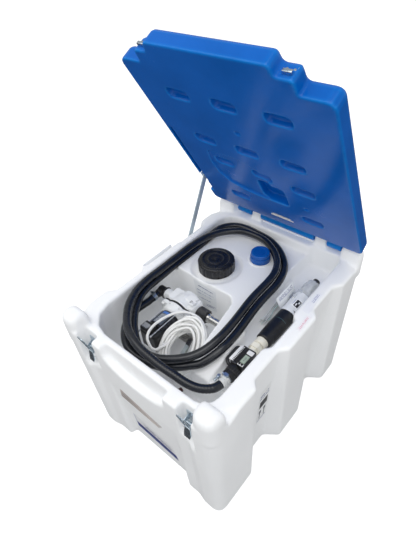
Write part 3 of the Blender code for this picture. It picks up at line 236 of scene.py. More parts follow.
def clip_mat(name, split, sign):
    """Insulated grip on one side of the plane y = split, bright steel jaw on the other."""
    m, nt, b = new_mat(name)
    geo = node(nt, "ShaderNodeNewGeometry")
    sep = node(nt, "ShaderNodeSeparateXYZ")
    nt.links.new(geo.outputs["Position"], sep.inputs[0])
    v = coords(nt)
    big, fine = noise(nt, v, 40, 4), noise(nt, v, 900, 3)
    steel = mathn(nt, "LESS_THAN" if sign > 0 else "GREATER_THAN", mathn(nt, "ADD", sep.outputs[1], mathn(nt, "MULTIPLY", big, 0.002)), split)
    col = mixc(nt, steel, ramp(nt, big, [(0.3, (0.008, 0.008, 0.010)), (0.7, (0.02, 0.02, 0.024))]), ramp(nt, big, [(0.3, (0.42, 0.47, 0.45)), (0.7, (0.62, 0.66, 0.64))]))
    nt.links.new(col, b.inputs["Base Color"])
    nt.links.new(mathn(nt, "MULTIPLY", steel, 0.85), b.inputs["Metallic"])
    nt.links.new(mathn(nt, "ADD", mathn(nt, "MULTIPLY", fine, 0.2), 0.25), b.inputs["Roughness"])
    bp = node(nt, "ShaderNodeBump")
    bp.inputs["Strength"].default_value, bp.inputs["Distance"].default_value = 0.3, 0.0004
    nt.links.new(fine, bp.inputs["Height"])
    nt.links.new(bp.outputs[0], b.inputs["Normal"])


def film(name, tint, alpha):
    """Clear creased plastic film."""
    m, nt, b = new_mat(name)
    v = coords(nt)
    n1, n2 = noise(nt, v, 28, 5, 0.6), noise(nt, v, 120, 3)
    col = ramp(nt, n1, [(0.3, tuple(c * 0.93 for c in tint)), (0.7, tint)])
    nt.links.new(col, b.inputs["Base Color"])
    b.inputs["Roughness"].default_value = 0.14
    b.inputs["Coat Weight"].default_value = 0.6
    a = mathn(nt, "ADD", mathn(nt, "MULTIPLY", n1, 0.5), alpha - 0.25, True)
    nt.links.new(a, b.inputs["Alpha"])
    bp = node(nt, "ShaderNodeBump")
    bp.inputs["Strength"].default_value = 0.7
    bp.inputs["Distance"].default_value = 0.002
    nt.links.new(mathn(nt, "ADD", n1, mathn(nt, "MULTIPLY", n2, 0.3)), bp.inputs["Height"])
    nt.links.new(bp.outputs[0], b.inputs["Normal"])
    return m


def label_mat(name, rows):
    """Printed label from UV bands: rows is a list of (v0, v1, u0, u1, colour, kind)."""
    m, nt, b = new_mat(name)
    uv = node(nt, "ShaderNodeUVMap")
    sep = node(nt, "ShaderNodeSeparateXYZ")
    nt.links.new(uv.outputs[0], sep.inputs[0])
    u, v = sep.outputs[0], sep.outputs[1]
    obj = coords(nt)
    paper = noise(nt, obj, 200, 4)
    col = ramp(nt, paper, [(0.3, rows[0][4]), (0.7, tuple(min(1, c * 1.04) for c in rows[0][4]))])
    for v0, v1, u0, u1, c, kind in rows[1:]:
        inside = mathn(nt, "MULTIPLY", mathn(nt, "MULTIPLY", mathn(nt, "GREATER_THAN", u, u0), mathn(nt, "LESS_THAN", u, u1)),
                       mathn(nt, "MULTIPLY", mathn(nt, "GREATER_THAN", v, v0), mathn(nt, "LESS_THAN", v, v1)))
        if kind == "lines":  # ragged rows that stand for print, with no letters in them
            n = max(1, round((v1 - v0) / 0.07))
            saw = mathn(nt, "FRACT", mathn(nt, "MULTIPLY", mathn(nt, "SUBTRACT", v, v0), n / (v1 - v0)))
            mp = node(nt, "ShaderNodeMapping")
            mp.inputs["Scale"].default_value = (38, n / (v1 - v0) * 1.0, 1)
            nt.links.new(uv.outputs[0], mp.inputs[0])
            w = node(nt, "ShaderNodeTexWhiteNoise", noise_dimensions="2D")
            fl = node(nt, "ShaderNodeVectorMath", operation="FLOOR")
            nt.links.new(mp.outputs[0], fl.inputs[0])
            nt.links.new(fl.outputs[0], w.inputs["Vector"])
            inside = mathn(nt, "MULTIPLY", inside, mathn(nt, "MULTIPLY", mathn(nt, "LESS_THAN", saw, 0.45), mathn(nt, "GREATER_THAN", w.outputs["Value"], 0.28)))
        if kind == "cells":
            mp = node(nt, "ShaderNodeMapping")
            mp.inputs["Scale"].default_value = (60, 30, 1)
            nt.links.new(uv.outputs[0], mp.inputs[0])
            w = node(nt, "ShaderNodeTexWhiteNoise", noise_dimensions="2D")
            fl = node(nt, "ShaderNodeVectorMath", operation="FLOOR")
            nt.links.new(mp.outputs[0], fl.inputs[0])
            nt.links.new(fl.outputs[0], w.inputs["Vector"])
            inside = mathn(nt, "MULTIPLY", inside, mathn(nt, "GREATER_THAN", w.outputs["Value"], 0.5))
        col = mixc(nt, inside, col, c)
    nt.links.new(col, b.inputs["Base Color"])
    b.inputs["Roughness"].default_value = 0.35
    bp = node(nt, "ShaderNodeBump")
    bp.inputs["Strength"].default_value = 0.15
    bp.inputs["Distance"].default_value = 0.0002
    nt.links.new(paper, bp.inputs["Height"])
    nt.links.new(bp.outputs[0], b.inputs["Normal"])
    return m


# ------------------------------------------------------------------ mesh helpers
def put(name, bm, mat, body, smooth=40):
    me = bpy.data.meshes.new(name)
    bm.to_mesh(me)
    bm.free()
    me.materials.append(MATS[mat])
    if smooth:
        me.shade_smooth()
        me.set_sharp_from_angle(angle=math.radians(smooth))
    o = bpy.data.objects.new(name, me)
    bpy.context.scene.collection.objects.link(o)
    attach(o, body)
    return o


def evaluated(o):
    bpy.context.view_layer.update()
    dg = bpy.context.evaluated_depsgraph_get()
    return bpy.data.meshes.new_from_object(o.evaluated_get(dg))


def node_bm(n):
    bm = bmesh.new()
    bm.from_mesh(NODES[n].data)
    bmesh.ops.remove_doubles(bm, verts=bm.verts, dist=2e-6)
    return bm


def drop_inside(bm, tests):
    """Removes the bore walls named by tests, then every shell but the largest, and closes the openings left."""
    kill = [f for f in bm.faces if any(all(t(v.co) for v in f.verts) for t in tests)]
    bmesh.ops.delete(bm, geom=kill, context="FACES")
    seen, best, best_size = set(), None, -1
    bm.verts.ensure_lookup_table()
    for v in bm.verts:
        if v in seen:
            continue
        stack, comp = [v], []
        seen.add(v)
        while stack:
            w = stack.pop()
            comp.append(w)
            for e in w.link_edges:
                u = e.other_vert(w)
                if u not in seen:
                    seen.add(u)
                    stack.append(u)
        xs = [c.co.x for c in comp]
        zs = [c.co.z for c in comp]
        size = (max(xs) - min(xs)) + (max(zs) - min(zs))
        if size > best_size:
            best, best_size = set(comp), size
    bmesh.ops.delete(bm, geom=[v for v in bm.verts if v not in best], context="VERTS")
    bmesh.ops.holes_fill(bm, edges=bm.edges, sides=0)
    bmesh.ops.recalc_face_normals(bm, faces=bm.faces)
    return bm


def remeshed(bm, voxel, rounds, factor=0.5, to=None):
    """Closed mesh, evenly remeshed, with its edges eased by a few rounds of smoothing."""
    me = bpy.data.meshes.new("tmp")
    if to:
        bm.transform(to)
    bm.to_mesh(me)
    bm.free()
    o = bpy.data.objects.new("tmp", me)
    bpy.context.scene.collection.objects.link(o)
    r = o.modifiers.new("r", "REMESH")
    r.mode, r.voxel_size, r.use_smooth_shade = "VOXEL", voxel, True
    s = o.modifiers.new("s", "SMOOTH")
    s.factor, s.iterations = factor, rounds
    out = evaluated(o)
    bpy.data.objects.remove(o)
    bm = bmesh.new()
    bm.from_mesh(out)
    bpy.data.meshes.remove(out)
    if to:
        bm.transform(to.inverted())
    return bm


def soften(n, mat, voxel=1.6, rounds=3, name=None):
    """Stands for a moulded CAD node with the same form and eased edges."""
    o = put(name or n + "_moulded", remeshed(node_bm(n), voxel * MM, rounds), mat, NODES[n]["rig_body"], 0)
    o.data.shade_smooth()
    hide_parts(n)
    return o


def dress(n, mat, bevel=0.0, smooth=35):
    o = NODES[n]
    o.data.materials.clear()
    o.data.materials.append(MATS[mat])
    if bevel:
        b = o.modifiers.new("edge", "BEVEL")
        b.width, b.segments, b.limit_method, b.angle_limit = bevel * MM, 2, "ANGLE", math.radians(35)
        b.harden_normals = False
    return o


def curve_points(ctrl, per=6, closed=False):
    p = [Vector(c) for c in ctrl]
    n, out = len(p), []
    last = n if closed else n - 1
    for i in range(last):
        p0 = p[(i - 1) % n] if closed or i > 0 else p[0] * 2 - p[1]
        p1, p2 = p[i], p[(i + 1) % n]
        p3 = p[(i + 2) % n] if closed or i < n - 2 else p[-1] * 2 - p[-2]
        for k in range(per):
            t = k / per
            out.append(0.5 * ((2 * p1) + (p2 - p0) * t + (2 * p0 - 5 * p1 + 4 * p2 - p3) * t * t + (3 * p1 - p0 - 3 * p2 + p3) * t ** 3))
    if not closed:
        out.append(p[-1])
    return out


def sweep_bm(path, r, seg=12, closed=False):
    n = len(path)
    bm = bmesh.new()
    side = None
    rings = []
    for i, c in enumerate(path):
        if closed:
            t = (path[(i + 1) % n] - path[i - 1]).normalized()
        else:
            t = (path[min(i + 1, n - 1)] - path[max(i - 1, 0)]).normalized()
        side = t.orthogonal().normalized() if side is None else (side - t * side.dot(t)).normalized()
        u = t.cross(side)
        rr = r(i / max(1, n - 1)) if callable(r) else r
        rings.append([bm.verts.new((c + (side * math.cos(2 * math.pi * k / seg) + u * math.sin(2 * math.pi * k / seg)) * rr) * MM) for k in range(seg)])
    for i in range(n if closed else n - 1):
        a, b = rings[i], rings[(i + 1) % n]
        for k in range(seg):
            q = (k + 1) % seg
            bm.faces.new((a[k], a[q], b[q], b[k]))
    if not closed:
        bm.faces.new(list(reversed(rings[0])))
        bm.faces.new(rings[-1])
    bmesh.ops.recalc_face_normals(bm, faces=bm.faces)
    return bm


AXES = {"X": Matrix(((0, 0, 1), (1, 0, 0), (0, 1, 0))), "Y": Matrix(((1, 0, 0), (0, 0, 1), (0, -1, 0))), "Z": Matrix.Identity(3)}


def lathe_bm(profile, centre, axis="Z", seg=64, radius=None, bm=None):
    bm = bm or bmesh.new()
    rot, c = AXES[axis], Vector(centre)
    solid = profile[0][0] < 1e-6 and profile[-1][0] < 1e-6
    prof = profile[1:-1] if solid else profile
    rows = []
    for r, h in prof:
        row = []
        for i in range(seg):
            a = 2 * math.pi * i / seg
            rr = radius(r, a, h) if radius else r
            row.append(bm.verts.new((c + rot @ Vector((rr * math.cos(a), rr * math.sin(a), h))) * MM))
        rows.append(row)
    m = len(prof)
    for k in range(m - 1 if solid else m):
        A, B = rows[k], rows[(k + 1) % m]
        for i in range(seg):
            j = (i + 1) % seg
            bm.faces.new((A[i], A[j], B[j], B[i]))
    if solid:
        for row, h in ((rows[0], profile[0][1]), (rows[-1], profile[-1][1])):
            t = bm.verts.new((c + rot @ Vector((0, 0, h))) * MM)
            for i in range(seg):
                bm.faces.new((row[i], row[(i + 1) % seg], t))
    bmesh.ops.recalc_face_normals(bm, faces=bm.faces)
    return bm


def rounded_profile(pts, r=1.0, seg=3):
    """Eases the inner corners of an (r, h) profile."""
    out = [pts[0]]
    for a, p, b in zip(pts, pts[1:], pts[2:]):
        A, P, B = Vector(a), Vector(p), Vector(b)
        la, lb = (A - P).length, (B - P).length
        t = min(r, la * 0.45, lb * 0.45)
        s, e = P + (A - P).normalized() * t, P + (B - P).normalized() * t
        for k in range(seg + 1):
            w = k / seg
            q = s * (1 - w) ** 2 + P * 2 * w * (1 - w) + e * w * w
            out.append((q.x, q.y))
    out.append(pts[-1])
    return out


def box_bm(x0, x1, y0, y1, z0, z1, bevel=1.0, bm=None, seg=2, rot=None):
    b = bmesh.new()
    bmesh.ops.create_cube(b, size=1.0, matrix=Matrix.Translation(Vector(((x0 + x1) / 2, (y0 + y1) / 2, (z0 + z1) / 2)) * MM) @ Matrix.Diagonal(Vector((x1 - x0, y1 - y0, z1 - z0, 1000)) * MM))
    if bevel:
        bmesh.ops.bevel(b, geom=list(b.edges), offset=bevel * MM, segments=seg, affect="EDGES", profile=0.5)
    if rot:
        b.transform(rot)
    if bm is None:
        return b
    me = bpy.data.meshes.new("t")
    b.to_mesh(me)
    b.free()
    bm.from_mesh(me)
    bpy.data.meshes.remove(me)
    return bm


def patch(name, corners, mat, body, nu=8, nv=8, thick=0.35, bow=0.0, onto=None):
    """Thin printed patch with UVs: corners run bottom left, bottom right, top right, top left."""
    a, b, c, d = [Vector(p) for p in corners]
    nrm = (b - a).cross(d - a).normalized()
    bm = bmesh.new()
    uvl = bm.loops.layers.uv.new("UVMap")
    top, bot = [], []
    for j in range(nv + 1):
        for i in range(nu + 1):
            u, v = i / nu, j / nv
            p = (a * (1 - u) + b * u) * (1 - v) + (d * (1 - u) + c * u) * v
            lift = bow * (4 * u * (1 - u)) * (4 * v * (1 - v))
            if onto:
                hit = onto.ray_cast((p + nrm * 24) * MM, -nrm, 0.06)[0]
                if hit:
                    p = hit / MM + nrm * 0.05
            top.append((bm.verts.new((p + nrm * (thick + lift)) * MM), (u, v)))
            bot.append((bm.verts.new((p + nrm * lift) * MM), (u, v)))
    W = nu + 1

    def quad(vs):
        f = bm.faces.new([x[0] for x in vs])
        for l, x in zip(f.loops, vs):
            l[uvl].uv = x[1]
    for j in range(nv):
        for i in range(nu):
            k = j * W + i
            quad((top[k], top[k + 1], top[k + 1 + W], top[k + W]))
            quad((bot[k], bot[k + W], bot[k + 1 + W], bot[k + 1]))
    for i in range(nu):
        quad((bot[i], bot[i + 1], top[i + 1], top[i]))
        k = nv * W + i
        quad((bot[k + 1], bot[k], top[k], top[k + 1]))
    for j in range(nv):
        k = j * W
        quad((bot[k + W], bot[k], top[k], top[k + W]))
        k = j * W + nu
        quad((bot[k], bot[k + W], top[k + W], top[k]))
    return put(name, bm, mat, body, 40)


# ------------------------------------------------------------------ big mouldings
HY, HZ = 402.0, 571.0
TO_SHUT = Matrix.Translation(Vector((0, HY, HZ)) * MM) @ Matrix.Rotation(math.radians(60), 4, "X") @ Matrix.Translation(Vector((0, -HY, -HZ)) * MM)


def near_axis_z(cx, cy, r):
    return lambda p: abs(math.hypot(p.x / MM - cx, p.y / MM - cy) - r) < 1.2 and p.z / MM > 470


def mouldings():
    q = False
    bm = drop_inside(node_bm("tank_body"), [near_axis_z(-110, 120, 41), near_axis_z(-6, 238, 18),
                                           lambda p: abs(math.hypot(p.y / MM + 55, p.z / MM - 455) - 12.9) < 0.6 and 45 < p.x / MM < 70])
    tank = put("tank_moulding", remeshed(bm, (7.0 if q else 4.2) * MM, 4 if q else 9), "tank_white", "tank", 0)
    tank.data.shade_smooth()
    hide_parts("tank_body")
    bm = node_bm("lid")
    bm.transform(TO_SHUT)
    bm = drop_inside(bm, [lambda p: abs(math.hypot(p.x / MM + 128, p.z / MM - 566) - 3) < 0.3])
    bm = remeshed(bm, (5.0 if q else 2.4) * MM, 2 if q else 4)
    bm.transform(TO_SHUT.inverted())
    lid = put("lid_moulding", bm, "lid_blue", "lid", 0)
    lid.data.shade_smooth()
    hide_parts("lid")
    return tank, lid


make_materials()
TANK, LID = mouldings()

# ------------------------------------------------------------------ hardware kept from the frame
for n in NODES:
    if n.startswith("latch_"):
        dress(n, "zinc" if "screw" not in n else "screw_blue", 0.35 if "bail" not in n else 0)
    elif n.startswith("bracket_screw"):
        dress(n, "steel", 0.3)
for n, m, b in (("hinge_pin", "panel_white", 0.6), ("stay_bar", "stay_grey", 0.5), ("stay_lug", "lug_pale", 0.0),
                ("stay_rest", "tank_white", 0.8), ("fill_gasket", "rubber_black", 0.2), ("vent_valve", "rubber_black", 0.4), ("pump_seal_band", "rubber_black", 0.8),
                ("motor_rotor", "steel", 0.3), ("pump_rotor", "steel", 0.3), ("rocker_switch", "switch_grey", 0.5), ("pump_bracket", "steel", 0.5), ("inlet_coupler", "steel", 0.6),
                ("suction_pipe", "plastic_black", 0.0), ("foot_strainer", "steel", 0.4), ("hose_clamp_pump", "screw_blue", 0.25), ("hose_clamp_meter", "screw_blue", 0.25),
                ("meter_lens", "lens_grey", 0.5), ("meter_button_left", "plastic_black", 0.4), ("meter_button_right", "plastic_black", 0.4), ("nozzle_trigger", "steel", 0.6),
                ("spout_pipe", "plastic_black", 0.0), ("clip_red_jaw", "clip_red", 0.8), ("clip_black_jaw", "clip_grip", 0.8), ("clip_black_jaw_fixed", "clip_grip", 0.8),
                ("clip_red_jaw_fixed", "clip_red", 0.8), ("adapter_inlet", "adapter_cream", 1.0), ("adapter_swivel", "adapter_cream", 0.8), ("inlet_nut", "plastic_black", 0.8),
                ("meter_nut", "plastic_black", 0.8), ("motor_housing", "motor_black", 0.5)):
    dress(n, m, b)
for n, m in (("pump_head", "pump_white"), ("pump_cover", "pump_white"), ("motor_end_box", "plastic_black"), ("nozzle_body", "nozzle_black"), ("outlet_elbow", "plastic_black")):
    soften(n, m, 1.5, 3)


# ------------------------------------------------------------------ lid hinge tabs and catch plates
def prism(poly, x0, x1, bevel, name, mat, body):
    """Solid with a (y, z) section between two x stations, edges eased."""
    bm = bmesh.new()
    ends = [[bm.verts.new(Vector((x, y, z)) * MM) for y, z in poly] for x in (x0, x1)]
    bm.faces.new(list(reversed(ends[0])))
    bm.faces.new(ends[1])
    for i in range(len(poly)):
        j = (i + 1) % len(poly)
        bm.faces.new((ends[0][i], ends[0][j], ends[1][j], ends[1][i]))
    bmesh.ops.recalc_face_normals(bm, faces=bm.faces)
    if bevel:
        bmesh.ops.bevel(bm, geom=list(bm.edges), offset=bevel * MM, segments=2, affect="EDGES", profile=0.5, clamp_overlap=True)
    return put(name, bm, mat, body, 35)


def lid_details():
    for k, (x0, x1) in enumerate(((-209, -152), (-103, 115), (170, 221))):
        poly = [(HY + r * math.cos(math.radians(a)), HZ + r * math.sin(math.radians(a))) for a, r in ((150, 24), (175, 27), (195, 28.4), (215, 28.4), (235, 28.4), (255, 28.4), (275, 28.4), (295, 28.0), (315, 26), (340, 22), (20, 16), (90, 14))]
        prism(poly, x0, x1, 2.2, "hinge_skirt_%d" % (k + 1), "lid_blue", "lid")
    back = TO_SHUT.inverted()
    slot_bm = box_bm(-27, 63, 304.5, 311.5, 540.6, 546, 1.2)
    slot_bm.transform(back)
    put("lid_slot_insert", slot_bm, "slot_pale", "lid", 35)
    for side, sx in (("left", -1), ("right", 1)):
        n = "lid_catch_" + side
        lo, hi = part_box(n)
        x = (lo.x + hi.x) / 2 / MM
        y = -364.4 + 0.2
        bm = bmesh.new()
        box_bm(x - 14, x + 14, y - 1.8, y, 556, 577, 0.6, bm)
        box_bm(x - 11, x + 11, y - 10.5, y - 0.2, 554.4, 556.4, 0.7, bm)
        box_bm(x - 11, x + 11, y - 11.6, y - 9.6, 554.4, 562.5, 0.7, bm)
        for dx in (-8.5, 8.5):
            lathe_bm([(0, y - 3.6), (2.4, y - 3.4), (3.6, y - 2.4), (3.6, y - 1.2), (0, y - 1.2)], (x + dx, 0, 569), "Y", 16, None, bm)
        bm.transform(back)
        o = put("catch_plate_" + side, bm, "zinc", "lid", 35)
        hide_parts(n)


lid_details()
prism([(392, 512), (392, 538.5), (396, 541.2), (412, 541.2), (418, 538.5), (418, 512)], -103, 115, 1.4, "hinge_sill", "tank_white", "tank")


# ------------------------------------------------------------------ caps
def caps():
    lobes = lambda r, a, h: r - 3.4 * max(0.0, math.cos(16 * a)) ** 1.4 * (1 if 495 < h < 529.8 else 0) if r > 60 else r
    prof = rounded_profile([(0, 527.5), (51.6, 527.5), (51.6, 494), (64.6, 494), (65, 496.5), (65, 527), (62.5, 530.5), (59, 532.5), (55, 533.2), (54, 535.2), (49.5, 536), (47, 535.6), (44.5, 533.2), (30, 533.4), (29, 534.6), (25.5, 534.8), (24.5, 533.6), (6, 533.8), (4.6, 534.8), (0, 535)], 0.9, 2)
    o = put("fill_cap_moulded", lathe_bm(prof, (-110, 120, 0), "Z", 192, lobes), "cap_black", "fill_cap", 50)
    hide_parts("fill_cap")
    ribs = lambda r, a, h: r - (0.8 * (0.5 + 0.5 * math.cos(36 * a)) if r > 34.2 and 503.5 < h < 519 else 0) - (0.5 * (0.5 + 0.5 * math.cos(36 * a)) if 32.8 < r < 34.2 and 524.5 < h < 533 else 0)
    prof = rounded_profile([(0, 522), (26, 522), (26, 502), (36, 502), (36, 519), (34.5, 521), (31.3, 521.6), (31.3, 523.4), (33.6, 524), (33.6, 533.4), (31, 536.8), (22, 536.8), (21, 536.0), (0, 536.2)], 0.8, 2)
    o = put("vent_cap_moulded", lathe_bm(prof, (-6, 238, 0), "Z", 180, ribs), "cap_blue", "vent_cap", 50)
    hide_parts("vent_cap")
    # moulded collar under the vent cap, part of the tank
    put("vent_collar", lathe_bm(rounded_profile([(37.5, 499.6), (44, 499.6), (43, 502.4), (38.2, 503)] + [(37.5, 499.6)][:0], 0.3, 2), (-6, 238, 0), "Z", 96), "tank_white", "tank", 60)


caps()

# ------------------------------------------------------------------ hose
HOSE_R = 13.0
LEFT = -248.0 + HOSE_R + 1.0
EX = -108 - 84.4 - 24
UPPER = [(198, -206, 488), (198, -222, 488), (197, -240, 488), (188, -264, 490), (163, -287, 495), (130, -300, 502), (79, -306, 511), (40, -309, 515), (5, -309, 519), (-35, -307, 523), (-78, -299, 526),
         (-127, -279, 527), (-170, -244, 527), (-203, -203, 527), (-226, -150, 527), (LEFT, -95, 527), (LEFT, -40, 527), (LEFT, 30, 527), (LEFT, 98, 527), (-230, 156, 527), (-219, 207, 527),
         (-195, 252, 527), (-164, 285, 527), (-132, 304, 527), (-84, 312, 527), (-36, 307, 527), (6, 288, 527), (44, 260, 527), (72, 226, 527), (89, 184, 527), (95, 142, 527), (96, 100, 527),
         (97, 58, 527), (100, 20, 527), (105, -20, 527), (110, -60, 527), (113, -97, 527), (114, -132, 526), (110, -166, 521), (100, -198, 514), (84, -226, 508), (64, -248, 504), (40, -267, 500),
         (18, -280, 496), (-6, -290, 493), (-32, -295, 491), (-62, -294, 489), (-94, -282, 488), (-130, -259, 488), (-160, -233, 489), (-188, -203, 491), (-210, -170, 493), (-226, -138, 494)]
LOWER = [(LEFT, -100, 495), (LEFT, -60, 496), (LEFT, -20, 497), (LEFT, 20, 498.5), (LEFT, 60, 499.5), (LEFT, 98, 500), (LEFT, 150, 500.3), (LEFT, 200, 501.5), (LEFT, 230, 504), (-233, 258, 508), (-224, 290, 513.6),
         (-205, 318, 513.6), (-178, 336, 513.6), (-136, 343, 513.6), (-84, 340, 513.6), (-32, 333, 513.6), (18, 312, 513.6), (60, 280, 513.6), (93, 240, 513.6), (112, 190, 513.6), (118.5, 143, 513.6), (119.5, 100, 513.6),
         (120.5, 58, 513.6), (123.5, 20, 513.6), (128.5, -20, 513.6), (134, -60, 513.6), (138, -97, 513.8), (139.5, -132, 514.2), (138.5, -152, 513.9), (135, -172, 509.5), (125, -196, 499), (108, -222, 486.5),
         (84, -242, 480), (62, -260, 475), (40, -274, 470), (16, -288, 466), (-12, -297, 463), (-42, -303, 462), (-76, -306, 462), (-110, -303, 463), (-143, -290, 464), (-172, -268, 464), (-196, -240, 463), (-211, -210, 461),
         (-218, -178, 459), (EX - 1, -142, 456.5), (EX, -124, 455), (EX, -108, 455), (EX, -76, 455)]


def hose():
    pts = curve_points(UPPER + LOWER, 7)
    # short samples over the ringed end beside the meter
    run, out = 0.0, [pts[0]]
    for p, q in zip(pts, pts[1:]):
        d = (q - p).length
        n = max(1, math.ceil(d / 1.7)) if run < 300 else 1
        out += [p.lerp(q, (k + 1) / n) for k in range(n)]
        run += d
    arc = [0.0]
    for p, q in zip(out, out[1:]):
        arc.append(arc[-1] + (q - p).length)
    total = len(out) - 1

    def radius(t):
        s = arc[round(t * total)]
        ring = 0.6 * (0.5 - 0.5 * math.cos(2 * math.pi * s / 8.5)) if 60 < s < 285 else 0.0
        return HOSE_R - 0.05 - ring
    o = put("delivery_hose", sweep_bm(out, radius, 28), "hose_black", "tank", 60)
    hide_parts("hose")
    # pale crimped cuff behind the meter's nut
    i0, i1 = next(k for k, s in enumerate(arc) if s > 8), next(k for k, s in enumerate(arc) if s > 34)
    cuff = out[i0:i1]
    m = len(cuff) - 1
    put("hose_cuff", sweep_bm(cuff, lambda t: 15.4 - (1.2 if 0.42 < t < 0.58 else 0) - (1.4 if t < 0.04 or t > 0.96 else 0), 28), "cuff_pale", "tank", 40)


hose()

# ------------------------------------------------------------------ cable
def cable():
    """White cable: a hank of loops leaning beside the motor, with one wide loop thrown over it."""
    c = Vector((-3, -188, 438))
    w = Vector((0.02, 0.82, 0.57)).normalized()
    u = Vector((0.93, -0.10, -0.26))
    u = (u - w * u.dot(w)).normalized()
    n = u.cross(w).normalized()
    cells = [(4.4, -9.2), (-5.0, -9.4), (-13.2, 0.4), (13.6, 0.0), (4.6, 0.4), (-4.4, 0.2), (-9.6, 9.4), (0.2, 9.6), (9.8, 9.2), (14.6, 8.6), (-14, -8.8)]
    turns, per = len(cells), 26
    pts = [Vector((-69.3, -213.8, 440)), Vector((-62, -214, 440)), Vector((-55, -219, 441))]
    for i in range(turns * per):
        a = math.radians(186) + 2 * math.pi * i / per
        k, f = divmod(i / per, 1.0)
        k = int(k)
        g = max(0.0, min(1.0, (f - 0.80) / 0.20))
        g = g * g * (3 - 2 * g)
        r0, n0 = cells[k]
        r1, n1 = cells[min(k + 1, turns - 1)]
        dr, dn = r0 + (r1 - r0) * g, n0 + (n1 - n0) * g
        fan = 1.0 + 0.38 * max(0.0, math.sin(a + 0.3)) + 0.12 * math.sin(2.0 * a + k)
        wob = 1.6 * math.sin(3 * a + 1.7 * k) + 1.1 * math.sin(5 * a + 2.9 * k)
        ra, rb = 51 + 1.12 * dr * fan * 0.9 + wob * 0.5, 78 + 1.12 * dr * fan + wob
        pts.append(c + u * (ra * math.cos(a)) + w * (rb * math.sin(a)) + n * (dn * (1.02 + 0.3 * math.sin(a)) + 1.2 * math.sin(2 * a + k)))
    pts += [Vector(p) for p in ((-53, -250, 450), (-72, -256, 474), (-88, -244, 488), (-98, -215, 491), (-99, -185, 490), (-93, -152, 489), (-78, -122, 490), (-56, -104, 491),
                                (-30, -94, 488), (-4, -92, 480), (18, -100, 467), (34, -112, 452), (42, -124, 437), (46, -138, 420))]
    o = put("power_cable_hank", sweep_bm(curve_points(pts, 2), 4.5, 10), "cable_white", "tank", 60)
    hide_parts("power_cable")
    return o


cable()


# ------------------------------------------------------------------ document pouch and the bagged spout
def pouch():
    lo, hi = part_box("document_pouch")
    lo, hi = lo / MM, hi / MM

    def sheet(name, off, mat, shrink, wave):
        bm = bmesh.new()
        nu, nv = 40, 16
        rows = []
        for j in range(nv + 1):
            row = []
            for i in range(nu + 1):
                u, v = i / nu, j / nv
                y = lo.y + 4 + shrink + (hi.y - lo.y - 8 - 2 * shrink) * u
                z = lo.z + 3 + shrink + (hi.z - lo.z - 9 - 2 * shrink) * v
                x = 134 + 22 * v - 4 * u + off + wave * math.sin(5 * u + 3 * v) * math.sin(math.pi * v) + 1.5 * wave * math.sin(11 * u * v + 1)
                row.append((x, y, z))
            rows.append(row)
        fr = [[bm.verts.new(Vector(p) * MM) for p in r] for r in rows]
        bk = [[bm.verts.new((Vector(p) + Vector((0.5, 0, 0))) * MM) for p in r] for r in rows]
        for j in range(nv):
            for i in range(nu):
                bm.faces.new((fr[j][i], fr[j + 1][i], fr[j + 1][i + 1], fr[j][i + 1]))
                bm.faces.new((bk[j][i], bk[j][i + 1], bk[j + 1][i + 1], bk[j + 1][i]))
        for i in range(nu):
            bm.faces.new((fr[0][i], fr[0][i + 1], bk[0][i + 1], bk[0][i]))
            bm.faces.new((fr[nv][i + 1], fr[nv][i], bk[nv][i], bk[nv][i + 1]))
        for j in range(nv):
            bm.faces.new((fr[j + 1][0], fr[j][0], bk[j][0], bk[j + 1][0]))
            bm.faces.new((fr[j][nu], fr[j + 1][nu], bk[j + 1][nu], bk[j][nu]))
        bmesh.ops.recalc_face_normals(bm, faces=bm.faces)
        return put(name, bm, mat, "tank", 60)
    a = sheet("pouch_film_front", 8.0, "pouch_film", 0, 3.6)
    sheet("pouch_film_back", -1.0, "pouch_film", 0, 1.2)
    sheet("pouch_booklet", 2.4, "booklet", 9, 0.8)
    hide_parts("document_pouch")
    for k, (v0, v1) in enumerate(((0.0, 0.0), (1.0, 1.0))):
        path = []
        for i in range(25):
            u = i / 24
            x = 134 + 22 * v0 - 4 * u + 8.4 + 3.6 * 1.5 * math.sin(11 * u * v0 + 1)
            path.append(Vector((x, lo.y + 4 + (hi.y - lo.y - 8) * u, lo.z + 3 + (hi.z - lo.z - 9) * v0)))
        put("pouch_seam_%d" % (k + 1), sweep_bm(path, 0.9, 8), "pouch_edge", "tank", 60)


def spout_bag():
    """Loose clear bag drawn over the spout."""
    bm = bmesh.new()
    seg, rows = 48, 30
    ring = []
    for j in range(rows + 1):
        t = j / rows
        y = 134 + 120 * t
        base = 25.5 - 3 * t
        row = []
        for i in range(seg):
            a = 2 * math.pi * i / seg
            r = base + 1.6 * math.sin(3 * a + 5 * t) + 1.2 * math.sin(7 * a - 9 * t) + 0.8 * math.sin(13 * a + 17 * t)
            r *= 1.0 - 0.5 * max(0.0, (t - 0.86) / 0.14) ** 2
            z = 489 + r * math.sin(a) * 1.05
            row.append(bm.verts.new(Vector((204 + r * math.cos(a), y + 1.5 * math.sin(4 * a), max(z, 453))) * MM))
        ring.append(row)
    for j in range(rows):
        for i in range(seg):
            k = (i + 1) % seg
            bm.faces.new((ring[j][i], ring[j][k], ring[j + 1][k], ring[j + 1][i]))
    bmesh.ops.recalc_face_normals(bm, faces=bm.faces)
    o = put("spout_bag", bm, "bag_film", "tank", 70)
    m = o.modifiers.new("thick", "SOLIDIFY")
    m.thickness, m.offset = 0.0005, 0
    return o


